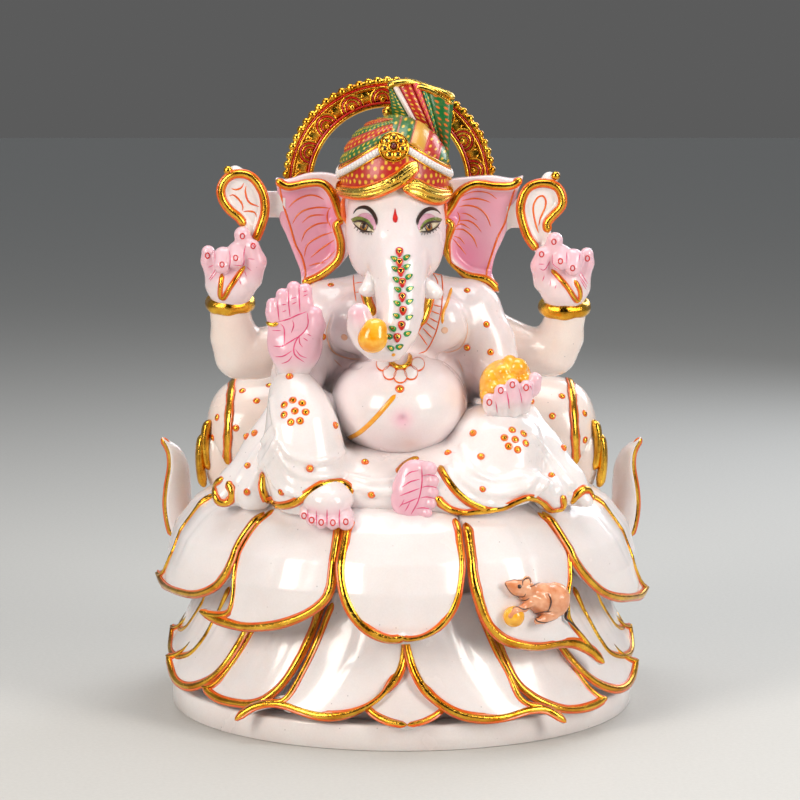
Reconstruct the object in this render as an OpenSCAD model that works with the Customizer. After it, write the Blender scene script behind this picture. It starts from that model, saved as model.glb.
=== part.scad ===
// Seated elephant-headed idol on a two-tier lotus, carved in white marble.
// Frame: +Z up, the idol faces -Y, +X is the viewer's right. The origin is the
// centre of the plinth's underside. "left" and "right" are the viewer's.

/* [Plinth and lotus] */
// Radius of the round plinth
plinth_r = 170; // [165:1:172]
// Height of the plinth
plinth_h = 18; // [14:1:22]
// Height of the seat above the ground
seat_z = 160; // [156:1:162]
// Radius of the seat, where the upper petals leave it
seat_r = 126; // [122:1:128]
// Thickness of a petal
petal_t = 6; // [4:0.5:7]
// How far the upper petals reach out from the axis
upper_reach = 172; // [168:1:174]
// How far the lower petals reach out from the axis
lower_reach = 168; // [164:1:170]
// Sideways reach of the petals' bent tips
tip_hook = 50; // [40:2:60]

/* [Bolster] */
// Radius of the bolster behind the figure
bolster_r = 41; // [36:1:43]
// Half of its length
bolster_half = 134; // [128:1:138]

/* [Figure] */
// Centre of the figure across the plinth
body_x = -3; // [-4:1:0]
// Radius of the belly across
belly_r = 49; // [45:1:51]
// Radius of the raised knee
knee_r = 23; // [21:1:25]
// Radius of the rear elbows
elbow_r = 20; // [18:1:21]
// Radius of the rear wrists
wrist_r = 14.5; // [13:0.5:15]

/* [Head and turban] */
// Height of the middle of the face
face_z = 352; // [350:1:354]
// Half-width of the forehead
brow_r = 36; // [34:1:37]
// Half-width of the turban
turban_r = 41; // [40:1:43]
// Thickness of an ear
ear_t = 11; // [8:1:12]

/* [Halo] */
// Outer radius of the halo arch
halo_r = 78; // [72:1:79]
// Width of its band
halo_w = 20; // [16:1:21]
// Thickness of its band
halo_t = 10; // [8:1:12]
// Angle that the arch spans
halo_span = 300; // [292:2:304]

/* [Hidden] */
function numbered(stem, n) = [for (i = [1 : n]) str(stem, i)];

marble = "#f3eceb";
gold = "#d9a62a";
blush = "#eab3cb";
saffron = "#f4b63c";
red = "#c8262a";
gap = 0.3;                      // clear space between neighbouring carved pieces
upper_top = seat_z + 3;         // top edge of the upper petals
upper_drop = 86;                // height of an upper petal
lower_top = 100;                // top edge of the lower petals
lower_drop = 80;                // height of a lower petal
upper_spread = [0, 31, 61, 93, 122, 151, 180];   // degrees round from the front, on each side
lower_spread = [13, 37, 60, 76, 91, 117, 142, 167];
shoulder_z = 289;
head_y = -46;
halo_x = -8;
halo_y = 10;
halo_z = 379;
wrist_x = [-126.5, 120];        // the two rear wrists, left and right
wrist_y = -14;
wrist_z = 295;
grid_u = 6;                     // facets across a petal
grid_t = 8;                     // facets down a petal

// ---- shared shapes ----

// An ellipsoid: s = [x, y, z, rx, ry, rz], or [x, y, z, r] for a ball.
module ball(s, fn = 16) {
    translate([s[0], s[1], s[2]])
        scale(len(s) > 4 ? [s[3], s[4], s[5]] : s[3])
            sphere(r = 1, $fn = fn);
}

// Rounded limb through a list of balls, each hulled to the next.
module limb(balls, fn = 16) {
    for (i = [0 : len(balls) - 2])
        hull() {
            ball(balls[i], fn);
            ball(balls[i + 1], fn);
        }
}

// Flat plate in the XZ plane, from y0 towards +Y.
module plate(outline, y0, thickness) {
    translate([0, y0 + thickness, 0])
        rotate([90, 0, 0])
            linear_extrude(thickness)
                polygon(outline);
}

function mirror_x(outline) = [for (p = outline) [-p[0], p[1]]];
function eased(t) = t * t * (3 - 2 * t);

// ---- petals ----

// Half-width of a petal, as a share, at t from 0 at its top to 1 at its tip.
function petal_width(t) =
    t < 0.55 ? 0.8 + 0.2 * eased(t / 0.55) : sqrt(max(0.001, 1 - pow((t - 0.55) / 0.46, 2)));

// A point of a petal's outer or inner face. tier 0 is the lower one, 1 the upper one.
// u runs across from -1 to 1, hook is the sideways reach of the tip, lift raises it.
function petal_point(tier, az, u, t, half, hook, lift, inset) =
    let (x = hook * pow(t, tier ? 6 : 4) + half * petal_width(t) * u,
         r_top = tier ? seat_r : seat_r + 2,
         r_end = tier ? upper_reach : lower_reach,
         out = tier ? sin(90 * t) : pow(t, 1.5),
         crown = 5 * (1 - u * u) * sin(160 * t),
         r = r_top + (r_end - r_top) * out + crown + 9 * pow(t, 10) - inset,
         z = tier ? upper_top - upper_drop * (1 - cos(90 * t)) : lower_top - lower_drop * t,
         a = az + x / 150 * 57.3)
    [r * sin(a), -r * cos(a), z + lift * pow(t, 8)];

module petal(tier, az, half, hook = 0, lift = 0, back = 0) {
    row = grid_u + 1;
    size = row * (grid_t + 1);
    points = [for (inset = [back, back + petal_t], j = [0 : grid_t], i = [0 : grid_u])
        petal_point(tier, az, 2 * i / grid_u - 1, j / grid_t, half, hook, lift, inset)];
    rim = concat([for (i = [0 : grid_u - 1]) i], [for (j = [0 : grid_t - 1]) j * row + grid_u],
                 [for (i = [grid_u : -1 : 1]) grid_t * row + i], [for (j = [grid_t : -1 : 1]) j * row]);
    n = len(rim);
    faces = concat(
        [for (j = [0 : grid_t - 1], i = [0 : grid_u - 1], h = [0, 1])
            let (k = j * row + i)
            h ? [k, k + 1, k + row + 1] : [k, k + row + 1, k + row]],
        [for (j = [0 : grid_t - 1], i = [0 : grid_u - 1], h = [0, 1])
            let (k = size + j * row + i)
            h ? [k, k + row + 1, k + 1] : [k, k + row, k + row + 1]],
        [for (i = [0 : n - 1], h = [0, 1])
            let (a = rim[i], b = rim[(i + 1) % n])
            h ? [a, a + size, b] : [b, a + size, b + size]]);
    polyhedron(points = points, faces = faces, convexity = 4);
}

// Angle from the front of petal i: 1 and 2 are the first pair of the lower tier, 2 and 3 of the upper.
function lower_az(i) = (i % 2 ? -1 : 1) * lower_spread[ceil(i / 2) - 1];
function upper_az(i) = (i % 2 ? 1 : -1) * upper_spread[floor(i / 2)];

module lower_petal(i) {
    az = lower_az(i);
    pair = ceil(i / 2);
    half = pair == 1 ? 34 : pair == 2 || pair > 5 ? 30 : 26;
    hook = sign(az) * (pair > 5 ? 0 : pair == 5 ? 30 : tip_hook);
    color(marble) petal(0, az, half, hook, lift = [-4, 2, 8, 12, 4, 6, 6, 6][pair - 1]);
}

module upper_petal(i) {
    az = upper_az(i);
    half = abs(az) == 61 ? 43 : az == 0 ? 42 : 36;
    hook = i == 1 || i > 7 ? 0 : sign(az) * tip_hook;
    right_front = i == 3;
    color(marble) petal(1, az, half, hook, lift = right_front ? -26 : i == 1 ? 4 : i < 8 ? 9 : 2);
}

module lower_middle_petal() {
    color(marble) petal(0, 0, 34, back = petal_t + 1);
}

// One of the two petals that stand up at the sides.
module upright_petal(side) {
    color(marble) limb([
        [side * 152, 52, 146, 7, 17, 10],
        [side * 162, 52, 163, 5, 14, 13],
        [side * 172, 52, 177, 3.5, 8, 8]], 14);
}

// ---- base ----

module plinth() {
    color(marble)
        rotate_extrude($fn = 128)
            polygon([[0, 0], [plinth_r - 1, 0], [plinth_r, 1], [plinth_r - 1, plinth_h - 3],
                     [plinth_r - 4, plinth_h], [0, plinth_h]]);
}

module lotus_heart() {
    core = seat_r - petal_t - gap;
    color(marble)
        rotate_extrude($fn = 128)
            polygon([[0, plinth_h], [142, plinth_h], [130, 45], [core, 80],
                     [core, seat_z - 3], [core - 3, seat_z], [0, seat_z]]);
}

// ---- bolster ----

module bolster_body(extra = 0) {
    translate([0, 48, seat_z + bolster_r - 2])
        rotate([0, 90, 0])
            rotate_extrude($fn = 64)
                polygon([[0, -bolster_half - 8], [bolster_r * 0.55, -bolster_half - 4],
                         [bolster_r * 0.84 + extra, -bolster_half + 8], [bolster_r + extra, -bolster_half + 40],
                         [bolster_r + extra, bolster_half - 40], [bolster_r * 0.84 + extra, bolster_half - 8],
                         [bolster_r * 0.55, bolster_half + 4], [0, bolster_half + 8]]);
}

module bolster() {
    color(marble) difference() {
        bolster_body();
        translate([0, 0, seat_z - 20]) cube([400, 300, 40], center = true);
    }
}

module bolster_trim() {
    color(gold) for (side = [-1, 1]) {
        difference() {
            intersection() {
                bolster_body(2);
                translate([side * 119, 48, 240]) cube([6, 200, 160], center = true);
            }
            bolster_body(gap);
        }
        translate([side * (bolster_half + 8 + gap), 48, seat_z + bolster_r - 2])
            rotate([0, side * 90, 0])
                cylinder(r1 = 14, r2 = 11, h = 5, $fn = 32);
    }
}

// ---- legs and cloth ----

module hip_block() {
    limb([[-60, -6, 182, 42, 38, 22], [body_x, -96, 168, 44, 32, 10],
          [58, -7, 182, 45, 37, 22], [-60, -7, 182, 43, 37, 22]], 12);
}

module seat_floor() {
    translate([0, 0, seat_z + gap - 100]) cube([600, 600, 200], center = true);
}

module raised_leg_shape() {
    limb([[-44, -20, 194, 32, 30, 28], [-70, -76, 230, knee_r, knee_r, knee_r],
          [-69, -96, 205, 26, 22, 22], [-64, -108, 182, 29, 23, 18]]);
}

module folded_leg_shape() {
    limb([[44, -20, 192, 34, 34, 28], [70, -74, 197, 34, 34, 26],
          [62, -104, 180, 34, 22, 17], [20, -116, 176, 18, 14, 14]]);
}

module hip_drape() {
    color(marble) difference() {
        hip_block();
        raised_leg_shape();
        folded_leg_shape();
        torso_shape();
        seat_floor();
    }
}

module raised_leg() {
    color(marble) difference() {
        raised_leg_shape();
        torso_shape();
        seat_floor();
    }
}

module folded_leg() {
    color(marble) difference() {
        folded_leg_shape();
        torso_shape();
        seat_floor();
    }
}

module raised_leg_foot() {
    color(blush) difference() {
        limb([[-54, -122, 170, 16, 14, 10], [-52, -144, 158, 19, 9, 8]], 20);
        raised_leg_shape();
        hip_block();
    }
}

module folded_leg_foot() {
    color(blush) difference() {
        limb([[12, -134, 186, 14, 8, 12], [8, -138, 168, 14, 7, 11]], 20);
        folded_leg_shape();
        hip_block();
    }
}

module side_drapes() {
    color(marble) difference() {
        union() {
            limb([[-94, -46, 204, 10, 22, 22], [-112, -54, 179, 12, 22, 12], [-124, -58, 169, 8, 16, 6]], 14);
            limb([[100, -40, 200, 12, 24, 20], [114, -50, 178, 13, 22, 11], [126, -56, 168, 7, 14, 5]], 14);
        }
        raised_leg_shape();
        folded_leg_shape();
        hip_block();
        seat_floor();
    }
}

// ---- torso and arms ----

module torso_shape() {
    limb([[body_x - 1, -60, 232, belly_r, 56, 38], [body_x, -10, 225, 54, 36, 40]], 24);
    limb([[-44, -20, shoulder_z, 25, 27, 23], [body_x, -26, 280, 50, 40, 30], [38, -20, shoulder_z, 25, 27, 23]], 20);
    limb([[body_x, -10, 225, 50, 34, 40], [body_x, -12, 300, 30, 26, 26]], 20);
}

module torso() {
    color(marble) torso_shape();
}

// Raised necklace: two strands that meet in a pendant on the belly.
module garland() {
    color(gold) difference() {
        union() {
            limb([[-34, -66, 306, 5], [-36, -72, 292, 5], [-30, -82, 276, 5], [-14, -97, 260, 6]], 10);
            limb([[28, -66, 306, 5], [30, -74, 290, 5], [22, -85, 274, 5], [8, -96, 262, 6]], 10);
            limb([[-14, -98, 258, 6], [body_x, -102, 254, 9, 4, 9], [8, -98, 260, 6]], 10);
        }
        torso_shape();
        trunk_shape();
    }
}

module front_arm_shape(shoulder, elbow, wrist) {
    limb([concat(shoulder, 23), concat(elbow, 19), concat(wrist, 13)]);
}

module front_arm_left() {
    color(marble) difference() {
        front_arm_shape([-57, -22, 288], [-70, -42, 250], [-78, -76, 258]);
        torso_shape();
        raised_leg_shape();
        palm_shape();
    }
}

module front_arm_right() {
    color(marble) difference() {
        front_arm_shape([52, -22, 288], [84, -30, 252], [78, -60, 240]);
        torso_shape();
        folded_leg_shape();
        cupped_shape();
    }
}

module palm_shape() {
    limb([[-77, -91, 262, 11, 7, 7], [-77, -92, 276, 18, 7.5, 16], [-80, -90, 304, 14, 6, 14]]);
    limb([[-66, -94, 278, 6, 5, 7], [-58, -95, 296, 4.5, 4.5, 7]], 12);
}

module open_palm() {
    color(blush) difference() {
        palm_shape();
        raised_leg_shape();
    }
}

module cupped_shape() {
    limb([[62, -80, 234, 7, 8, 9], [78, -84, 236, 14, 11, 13], [92, -82, 244, 7, 8, 9]]);
}

module cupped_hand() {
    color(blush) difference() {
        cupped_shape();
        folded_leg_shape();
    }
}

module sweet_heap() {
    color(saffron) difference() {
        limb([[73, -70, 250, 20, 17, 11], [74, -66, 262, 10, 9, 8], [76, -63, 271, 4]], 20);
        cupped_shape();
        front_arm_shape([52, -22, 288], [84, -30, 252], [78, -60, 240]);
    }
}

module rear_arm(k) {
    side = k ? 1 : -1;
    x = wrist_x[k];
    color(marble) difference() {
        limb([[side * 52, 12, 268, 19], [side * 84, 6, 261, 20], [x - side * 4, -4, 262, elbow_r],
              [x - side, -11, 280, 17], [x, wrist_y, wrist_z, wrist_r]]);
        torso_shape();
        bolster_body(gap);
        front_arm_shape([-57, -22, 288], [-70, -42, 250], [-78, -76, 258]);
        front_arm_shape([52, -22, 288], [84, -30, 252], [78, -60, 240]);
        rear_hand_shape(k);
    }
}

module rear_hand_shape(k) {
    side = k ? 1 : -1;
    x = wrist_x[k];
    limb([[x, wrist_y - 2, wrist_z + 10, 14, 12, 9], [x, wrist_y - 6, wrist_z + 22, 18, 13, 12]]);
    limb([[x - side * 12, wrist_y - 8, wrist_z + 30, 6, 7, 10], [x - side * 7, wrist_y - 8, wrist_z + 46, 5, 6, 7]], 12);
}

module rear_hand(k) {
    color(blush) difference() {
        rear_hand_shape(k);
        plate(emblem_outline(k), emblem_y, emblem_t);
    }
}

module wrist_bangles() {
    color(gold) for (x = wrist_x)
        translate([x, wrist_y, wrist_z + 2])
            rotate([8, 0, 0])
                rotate_extrude($fn = 64)
                    translate([wrist_r + 3.5, 0]) circle(r = 4, $fn = 32);
}

// ---- emblems: a drop with a bent tail, and a knob on top ----

emblem_y = -26;
emblem_t = 9;
emblem_lobe = [-117, 370];      // centre of the left emblem's round lobe
function drop_outline(c, r) = concat(
    [for (a = [-10 : 20 : 210]) [c[0] + r * cos(a), c[1] + r * 1.1 * sin(a)]],
    [[c[0] - 10, c[1] - 18], [c[0] - 1, c[1] - 26], [c[0] + 7, c[1] - 34],
     [c[0] + 12, c[1] - 32], [c[0] + 16.5, c[1] - 20]]);
function emblem_outline(k) =
    let (left = drop_outline(emblem_lobe, 15.5))
    k ? [for (p = mirror_x(left)) [p[0] - 6, p[1] - 3]] : left;

module emblem(k) {
    color(gold) union() {
        plate(emblem_outline(k), emblem_y, emblem_t);
        translate([k ? 115 : -121, emblem_y + emblem_t / 2, emblem_lobe[1] + (k ? 13 : 16)])
            cylinder(r1 = 4, r2 = 2.5, h = 7, $fn = 24);
    }
}

module ear_struts() {
    color(marble) for (k = [0, 1]) difference() {
        translate([k ? 80 : -106, -18, k ? 368 : 370])
            rotate([0, 90, 0]) cylinder(r = 9, h = 22, $fn = 32);
        plate(emblem_outline(k), emblem_y - gap, emblem_t + 2 * gap);
        ear_shape(k);
    }
}

// ---- head ----

module head_shape() {
    limb([[body_x, head_y + 2, face_z + 10, brow_r, 38, 32], [body_x, head_y - 4, face_z - 8, 33, 36, 28],
          [body_x + 1, head_y - 10, face_z - 25, 26, 28, 20]], 24);
}

trunk_line = [[-1, -76, 334, 21, 18, 18], [0, -92, 313, 18.5], [-1, -103, 296, 17], [-6, -110, 283, 15],
              [-16, -114, 275, 11.5], [-26, -117, 281, 9.5], [-30, -119, 292, 8.5]];

module trunk_shape() {
    limb(trunk_line);
}

module head() {
    color(marble) difference() {
        head_shape();
        torso_shape();
        turban_shape();
        trunk_shape();
    }
}

module trunk() {
    color(marble) trunk_shape();
}

module trunk_sweet() {
    color(saffron) difference() {
        ball([-17, -126, 289, 12], 24);
        trunk_shape();
    }
}

module tusks() {
    color(marble) difference() {
        union() {
            limb([[-20, -78, 324, 4], [-24, -92, 309, 7]], 14);
            limb([[18, -80, 322, 7], [28, -96, 307, 5.5]], 14);
        }
        head_shape();
        trunk_shape();
    }
}

ear_outline = [[-90, 381], [-80, 378], [-66, 381], [-52, 381], [-43, 374], [-36, 366], [-31, 352], [-24, 336],
               [-34, 324], [-50, 315], [-68, 308], [-71, 316], [-76, 332], [-82, 350], [-88, 366]];
function ear_points(k) = k ? [for (p = mirror_x(ear_outline)) [p[0] - 3, p[1]]] : ear_outline;

module ear_shape(k) {
    plate(ear_points(k), -26, ear_t);
}

module ear(k) {
    color(blush) ear_shape(k);
}

// ---- turban ----

module turban_shape() {
    translate([body_x - 2, head_y + 4, 372]) scale([turban_r, 44, 1]) cylinder(r = 1, h = 20, $fn = 48);
    turban_dome();
}

module turban_dome() {
    intersection() {
        translate([body_x - 2, head_y + 4, 392]) scale([turban_r - 1, 43, 35]) sphere(r = 1, $fn = 32);
        translate([body_x - 2, head_y + 4, 442]) cube([120, 120, 100], center = true);
    }
}

module turban_brim() {
    color(gold) difference() {
        translate([body_x - 2, head_y + 4, 372]) scale([turban_r, 44, 1]) cylinder(r = 1, h = 19.7, $fn = 48);
        translate([body_x - 2, head_y + 4, 371]) scale([turban_r - 8, 36, 1]) cylinder(r = 1, h = 22, $fn = 48);
    }
}

module turban_wrap() {
    color(red) difference() {
        turban_dome();
        crest_shape();
    }
}

module crest_shape() {
    hull() {
        ball([4, -42, 414, 8, 7, 8], 14);
        ball([30, -40, 404, 8, 7, 8], 14);
        ball([-2, -30, 446, 8, 6, 7], 14);
        ball([28, -30, 438, 9, 6, 7], 14);
    }
}

module turban_crest() {
    color(red) crest_shape();
}

module turban_brooch() {
    color(gold) translate([-4, -84.5, 408])
        rotate([68, 0, 0]) cylinder(r1 = 10, r2 = 8, h = 5, $fn = 32);
}

// ---- halo ----

module halo_arch() {
    start = 90 - halo_span / 2;
    color(gold)
        translate([halo_x, halo_y, halo_z])
            rotate([90, 0, 0])
                rotate([0, 0, start])
                    rotate_extrude(angle = halo_span, $fn = 128)
                        polygon([[halo_r - halo_w, -halo_t / 2], [halo_r, -halo_t / 2],
                                 [halo_r, halo_t / 2], [halo_r - halo_w, halo_t / 2]]);
}

// ---- mouse on the right front petal ----

mouse_at = [96, -141, 104];

module mouse() {
    color("#e8a27c") translate(mouse_at) rotate([0, 0, 36]) {
        limb([[8, 0, 0, 12, 7, 10], [-6, -1, 1, 8, 6, 8], [-15, -2, 8, 7, 5, 6], [-23, -3, 12, 2.5]], 14);
        limb([[-6, -4, -3, 4], [-19, -4, -5, 3]], 10);
        limb([[12, -2, -8, 5], [-1, -3, -11, 3]], 10);
    }
}

module mouse_sweet() {
    color(saffron) translate(mouse_at) rotate([0, 0, 36])
        ball([-22, 3, -8, 8.5], 24);
}

// ---- which node is drawn ----

plinth();
lotus_heart();
lower_middle_petal();
for (i = [1 : 10]) lower_petal(i);
for (i = [11 : 16]) lower_petal(i);  // lower_petals_rear
for (i = [1 : 7]) upper_petal(i);
for (i = [8 : 12]) upper_petal(i);  // upper_petals_rear
upright_petal(-1);  // upright_petal_left
upright_petal(1);  // upright_petal_right
hip_drape();
raised_leg();
raised_leg_foot();
folded_leg();
folded_leg_foot();
side_drapes();
torso();
garland();
bolster();
bolster_trim();
front_arm_left();
open_palm();
front_arm_right();
cupped_hand();
sweet_heap();
rear_arm(0);  // rear_arm_left
rear_arm(1);  // rear_arm_right
rear_hand(0);  // rear_hand_left
rear_hand(1);  // rear_hand_right
wrist_bangles();
emblem(0);  // emblem_left
emblem(1);  // emblem_right
ear_struts();
head();
trunk();
trunk_sweet();
tusks();
ear(0);  // ear_left
ear(1);  // ear_right
turban_brim();
turban_wrap();
turban_crest();
turban_brooch();
halo_arch();
mouse();
mouse_sweet();
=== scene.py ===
import bpy
import math
import numpy as np
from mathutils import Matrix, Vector


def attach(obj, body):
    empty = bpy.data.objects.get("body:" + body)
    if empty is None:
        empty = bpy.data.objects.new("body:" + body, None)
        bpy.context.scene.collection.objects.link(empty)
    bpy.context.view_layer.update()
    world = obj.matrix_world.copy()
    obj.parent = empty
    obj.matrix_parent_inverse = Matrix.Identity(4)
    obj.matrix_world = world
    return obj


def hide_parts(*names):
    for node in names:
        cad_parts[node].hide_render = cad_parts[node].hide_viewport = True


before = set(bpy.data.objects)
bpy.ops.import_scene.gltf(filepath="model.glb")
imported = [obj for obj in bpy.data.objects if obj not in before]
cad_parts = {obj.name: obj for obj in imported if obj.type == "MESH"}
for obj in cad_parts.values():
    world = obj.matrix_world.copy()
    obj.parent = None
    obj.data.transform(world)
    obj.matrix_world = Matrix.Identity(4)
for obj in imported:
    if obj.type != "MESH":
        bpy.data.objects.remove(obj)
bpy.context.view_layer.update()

studio = {"distance": 2180.4, "height": 515.0, "aim": 222.0, "lens": 134.4, "sideShift": -0.0019}

# All shapes below are worked out in millimetres, front towards -Y, and turned to metres in addPiece.


def linear(hexColour, alpha=1.0):
    # sRGB hex to linear light
    rgb = [int(hexColour[i:i + 2], 16) / 255 for i in (0, 2, 4)]
    return [c / 12.92 if c < 0.04045 else ((c + 0.055) / 1.055) ** 2.4 for c in rgb] + [alpha]


def addNode(tree, kind, settings=None, links=None):
    # settings: socket or property values; links: input socket -> output socket
    node = tree.nodes.new(kind)
    for key, value in (settings or {}).items():
        if isinstance(key, int) or key in node.inputs:
            node.inputs[key].default_value = value
        else:
            setattr(node, key, value)
    for key, source in (links or {}).items():
        tree.links.new(source, node.inputs[key])
    return node


def ramp(tree, source, stops):
    # colour or grey steps along a value
    node = addNode(tree, "ShaderNodeValToRGB", links={0: source})
    bar = node.color_ramp
    while len(bar.elements) < len(stops):
        bar.elements.new(0.5)
    for element, (place, colour) in zip(bar.elements, stops):
        element.position = place
        element.color = colour if isinstance(colour, list) else (colour, colour, colour, 1)
    return node.outputs[0]


def mixColour(tree, factor, a, b, blend="MIX"):
    node = addNode(tree, "ShaderNodeMix", {"data_type": "RGBA", "blend_type": blend})
    for index, value in ((0, factor), (6, a), (7, b)):
        if hasattr(value, "is_output"):
            tree.links.new(value, node.inputs[index])
        else:
            node.inputs[index].default_value = value
    return node.outputs[2]


def objectNoise(tree, size, detail=3.0, roughness=0.55, kind="ShaderNodeTexNoise"):
    # size is the width of one blotch in millimetres
    coord = addNode(tree, "ShaderNodeTexCoord")
    settings = {"Scale": 1000.0 / size}
    if kind == "ShaderNodeTexNoise":
        settings.update({"Detail": detail, "Roughness": roughness})
    return addNode(tree, kind, settings, {"Vector": coord.outputs["Object"]})


def startMaterial(name):
    mat = bpy.data.materials.new(name)
    mat.use_nodes = True
    tree = mat.node_tree
    shader = next(n for n in tree.nodes if n.type == "BSDF_PRINCIPLED")
    return mat, tree, shader


def bump(tree, shader, height, distance, strength=1.0):
    # distance in millimetres
    node = addNode(tree, "ShaderNodeBump", {"Distance": distance / 1000, "Strength": strength},
                   {"Height": height})
    tree.links.new(node.outputs[0], shader.inputs["Normal"])


# Materials.

# Polished marble: the light goes a few millimetres in, so edges glow and shadows are soft and warm.
# The wax polish lies over it as a thin coat. A "tint" attribute carries brushed-on pink or peach.
def polishedMarble(name, white, shade, depth=2.4, tintColour="F08FB4"):
    mat, tree, shader = startMaterial(name)
    clouds = objectNoise(tree, 46.0, 4.0)             # soft clouds in the stone
    grains = objectNoise(tree, 1.3, 2.0)              # sugar-like crystals of about a millimetre
    specks = objectNoise(tree, 9.0, 0.0, kind="ShaderNodeTexVoronoi")   # a stray grey fleck every centimetre
    body = mixColour(tree, ramp(tree, clouds.outputs[0], [(0.32, 0.0), (0.72, 1.0)]), linear(white),
                     linear(shade))
    body = mixColour(tree, ramp(tree, grains.outputs[0], [(0.35, 0.10), (0.7, 0.0)]), body, linear("CFC3C4"))
    fleck = ramp(tree, specks.outputs[0], [(0.035, 0.55), (0.06, 0.0)])
    body = mixColour(tree, fleck, body, linear("8E8588"))
    tint = addNode(tree, "ShaderNodeAttribute", {"attribute_name": "tint"})
    body = mixColour(tree, tint.outputs["Fac"], body, linear(tintColour))
    tree.links.new(body, shader.inputs["Base Color"])
    shader.inputs["Subsurface Weight"].default_value = 0.35
    shader.inputs["Subsurface Radius"].default_value = (1.0, 0.74, 0.64)
    shader.inputs["Subsurface Scale"].default_value = depth / 1000
    shader.inputs["IOR"].default_value = 1.5
    tree.links.new(ramp(tree, clouds.outputs[0], [(0.3, 0.17), (0.75, 0.3)]), shader.inputs["Roughness"])
    shader.inputs["Coat Weight"].default_value = 0.35
    shader.inputs["Coat Roughness"].default_value = 0.07
    soft = objectNoise(tree, 7.0, 2.0)                # hand polishing leaves a slight waviness
    bump(tree, shader, soft.outputs[0], 0.16, 0.5)
    return mat


# Burnished gold leaf over a raised line: bright and dark by turns, a little wrinkled, warmer where thin.
def goldLeaf(name, bright="FFC94A", deep="C8811C", wrinkle=0.25):
    mat, tree, shader = startMaterial(name)
    folds = objectNoise(tree, 2.2, 4.0, 0.6)          # leaf wrinkles are a millimetre or two apart
    patches = objectNoise(tree, 14.0, 2.0)
    tree.links.new(mixColour(tree, ramp(tree, patches.outputs[0], [(0.35, 0.0), (0.7, 1.0)]),
                             linear(bright), linear(deep)), shader.inputs["Base Color"])
    shader.inputs["Metallic"].default_value = 1.0
    tree.links.new(ramp(tree, folds.outputs[0], [(0.3, 0.11), (0.75, 0.34)]), shader.inputs["Roughness"])
    bump(tree, shader, folds.outputs[0], wrinkle, 0.9)
    return mat


# Brush paint under clear varnish: strong colour that thins and thickens along the stroke.
def brushPaint(name, colour, thin, roughness=0.28, size=5.0):
    mat, tree, shader = startMaterial(name)
    flow = objectNoise(tree, size, 3.0)
    tree.links.new(mixColour(tree, ramp(tree, flow.outputs[0], [(0.36, 0.0), (0.68, 1.0)]),
                             linear(colour), linear(thin)), shader.inputs["Base Color"])
    shader.inputs["Roughness"].default_value = roughness
    shader.inputs["Coat Weight"].default_value = 0.6
    shader.inputs["Coat Roughness"].default_value = 0.08
    grain = objectNoise(tree, 1.0, 2.0)
    bump(tree, shader, grain.outputs[0], 0.06, 0.6)
    return mat


marble = polishedMarble("polishedWhiteMarble", "F7F2F1", "EFE6E4")
marblePetal = polishedMarble("polishedPetalMarble", "F6F1F1", "EEE6E5", 2.0)
# A copy of the white marble painted warmer and a little darker: painted shade for the rear arms and the
# bolster behind the figure.
marbleWarmShade = polishedMarble("polishedMarbleWarmShade", "F6E9E2", "F1DDD2", 3.0)
marblePink = polishedMarble("pinkBrushedMarble", "F3EBEA", "EDDDE0", 2.4, "F07FA9")
gold = goldLeaf("burnishedGoldLeaf")
goldPale = goldLeaf("paleGoldLeaf", "FFDB6A", "DDA233", 0.35)
orangePaint = brushPaint("orangeBrushPaint", "E8560A", "F27A12")
saffronPaint = brushPaint("saffronBrushPaint", "F39A12", "F8B021")
redPaint = brushPaint("redEnamelPaint", "C3151B", "E03428")
pinkLinePaint = brushPaint("rosePinkPaint", "DB2C6B", "EE5D8F")
greenPaint = brushPaint("greenEnamelPaint", "0E7A35", "27A04B")
darkPaint = brushPaint("darkBrownPaint", "24140F", "3C2418")
print("materials ready")


# Shared shape functions.

def smoothLine(points, count, closed=False):
    # Catmull-Rom curve through the points, then count points evenly spaced along it.
    p = np.asarray(points, float)
    if closed:
        ext = np.vstack([p[-1], p, p[0], p[1]])
    else:
        ext = np.vstack([2 * p[0] - p[1], p, 2 * p[-1] - p[-2]])
    spans = len(ext) - 3
    t = np.linspace(0, spans, spans * 24 + 1)
    i = np.minimum(t.astype(int), spans - 1)
    f = (t - i)[:, None]
    a, b, c, d = ext[i], ext[i + 1], ext[i + 2], ext[i + 3]
    curve = 0.5 * (2 * b + (c - a) * f + (2 * a - 5 * b + 4 * c - d) * f ** 2 + (3 * b - a - 3 * c + d)
                   * f ** 3)
    length = np.concatenate([[0], np.cumsum(np.linalg.norm(np.diff(curve, axis=0), axis=1))])
    s = np.linspace(0, length[-1], count + 1 if closed else count)
    line = np.stack([np.interp(s, length, curve[:, k]) for k in range(p.shape[1])], 1)
    return line[:-1] if closed else line


def gridFaces(rows, cols, wrapRows=False, wrapCols=False, start=0):
    # Quads of a rows x cols grid of vertices; a wrapped direction joins its end to its start.
    r = np.arange(rows if wrapRows else rows - 1)[:, None]
    c = np.arange(cols if wrapCols else cols - 1)[None, :]
    r2, c2 = (r + 1) % rows, (c + 1) % cols
    quads = np.stack([r * cols + c, r * cols + c2, r2 * cols + c2, r2 * cols + c], -1)
    return quads.reshape(-1, 4) + start


def unit(v):
    return v / np.maximum(np.linalg.norm(v, axis=-1, keepdims=True), 1e-9)


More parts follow.
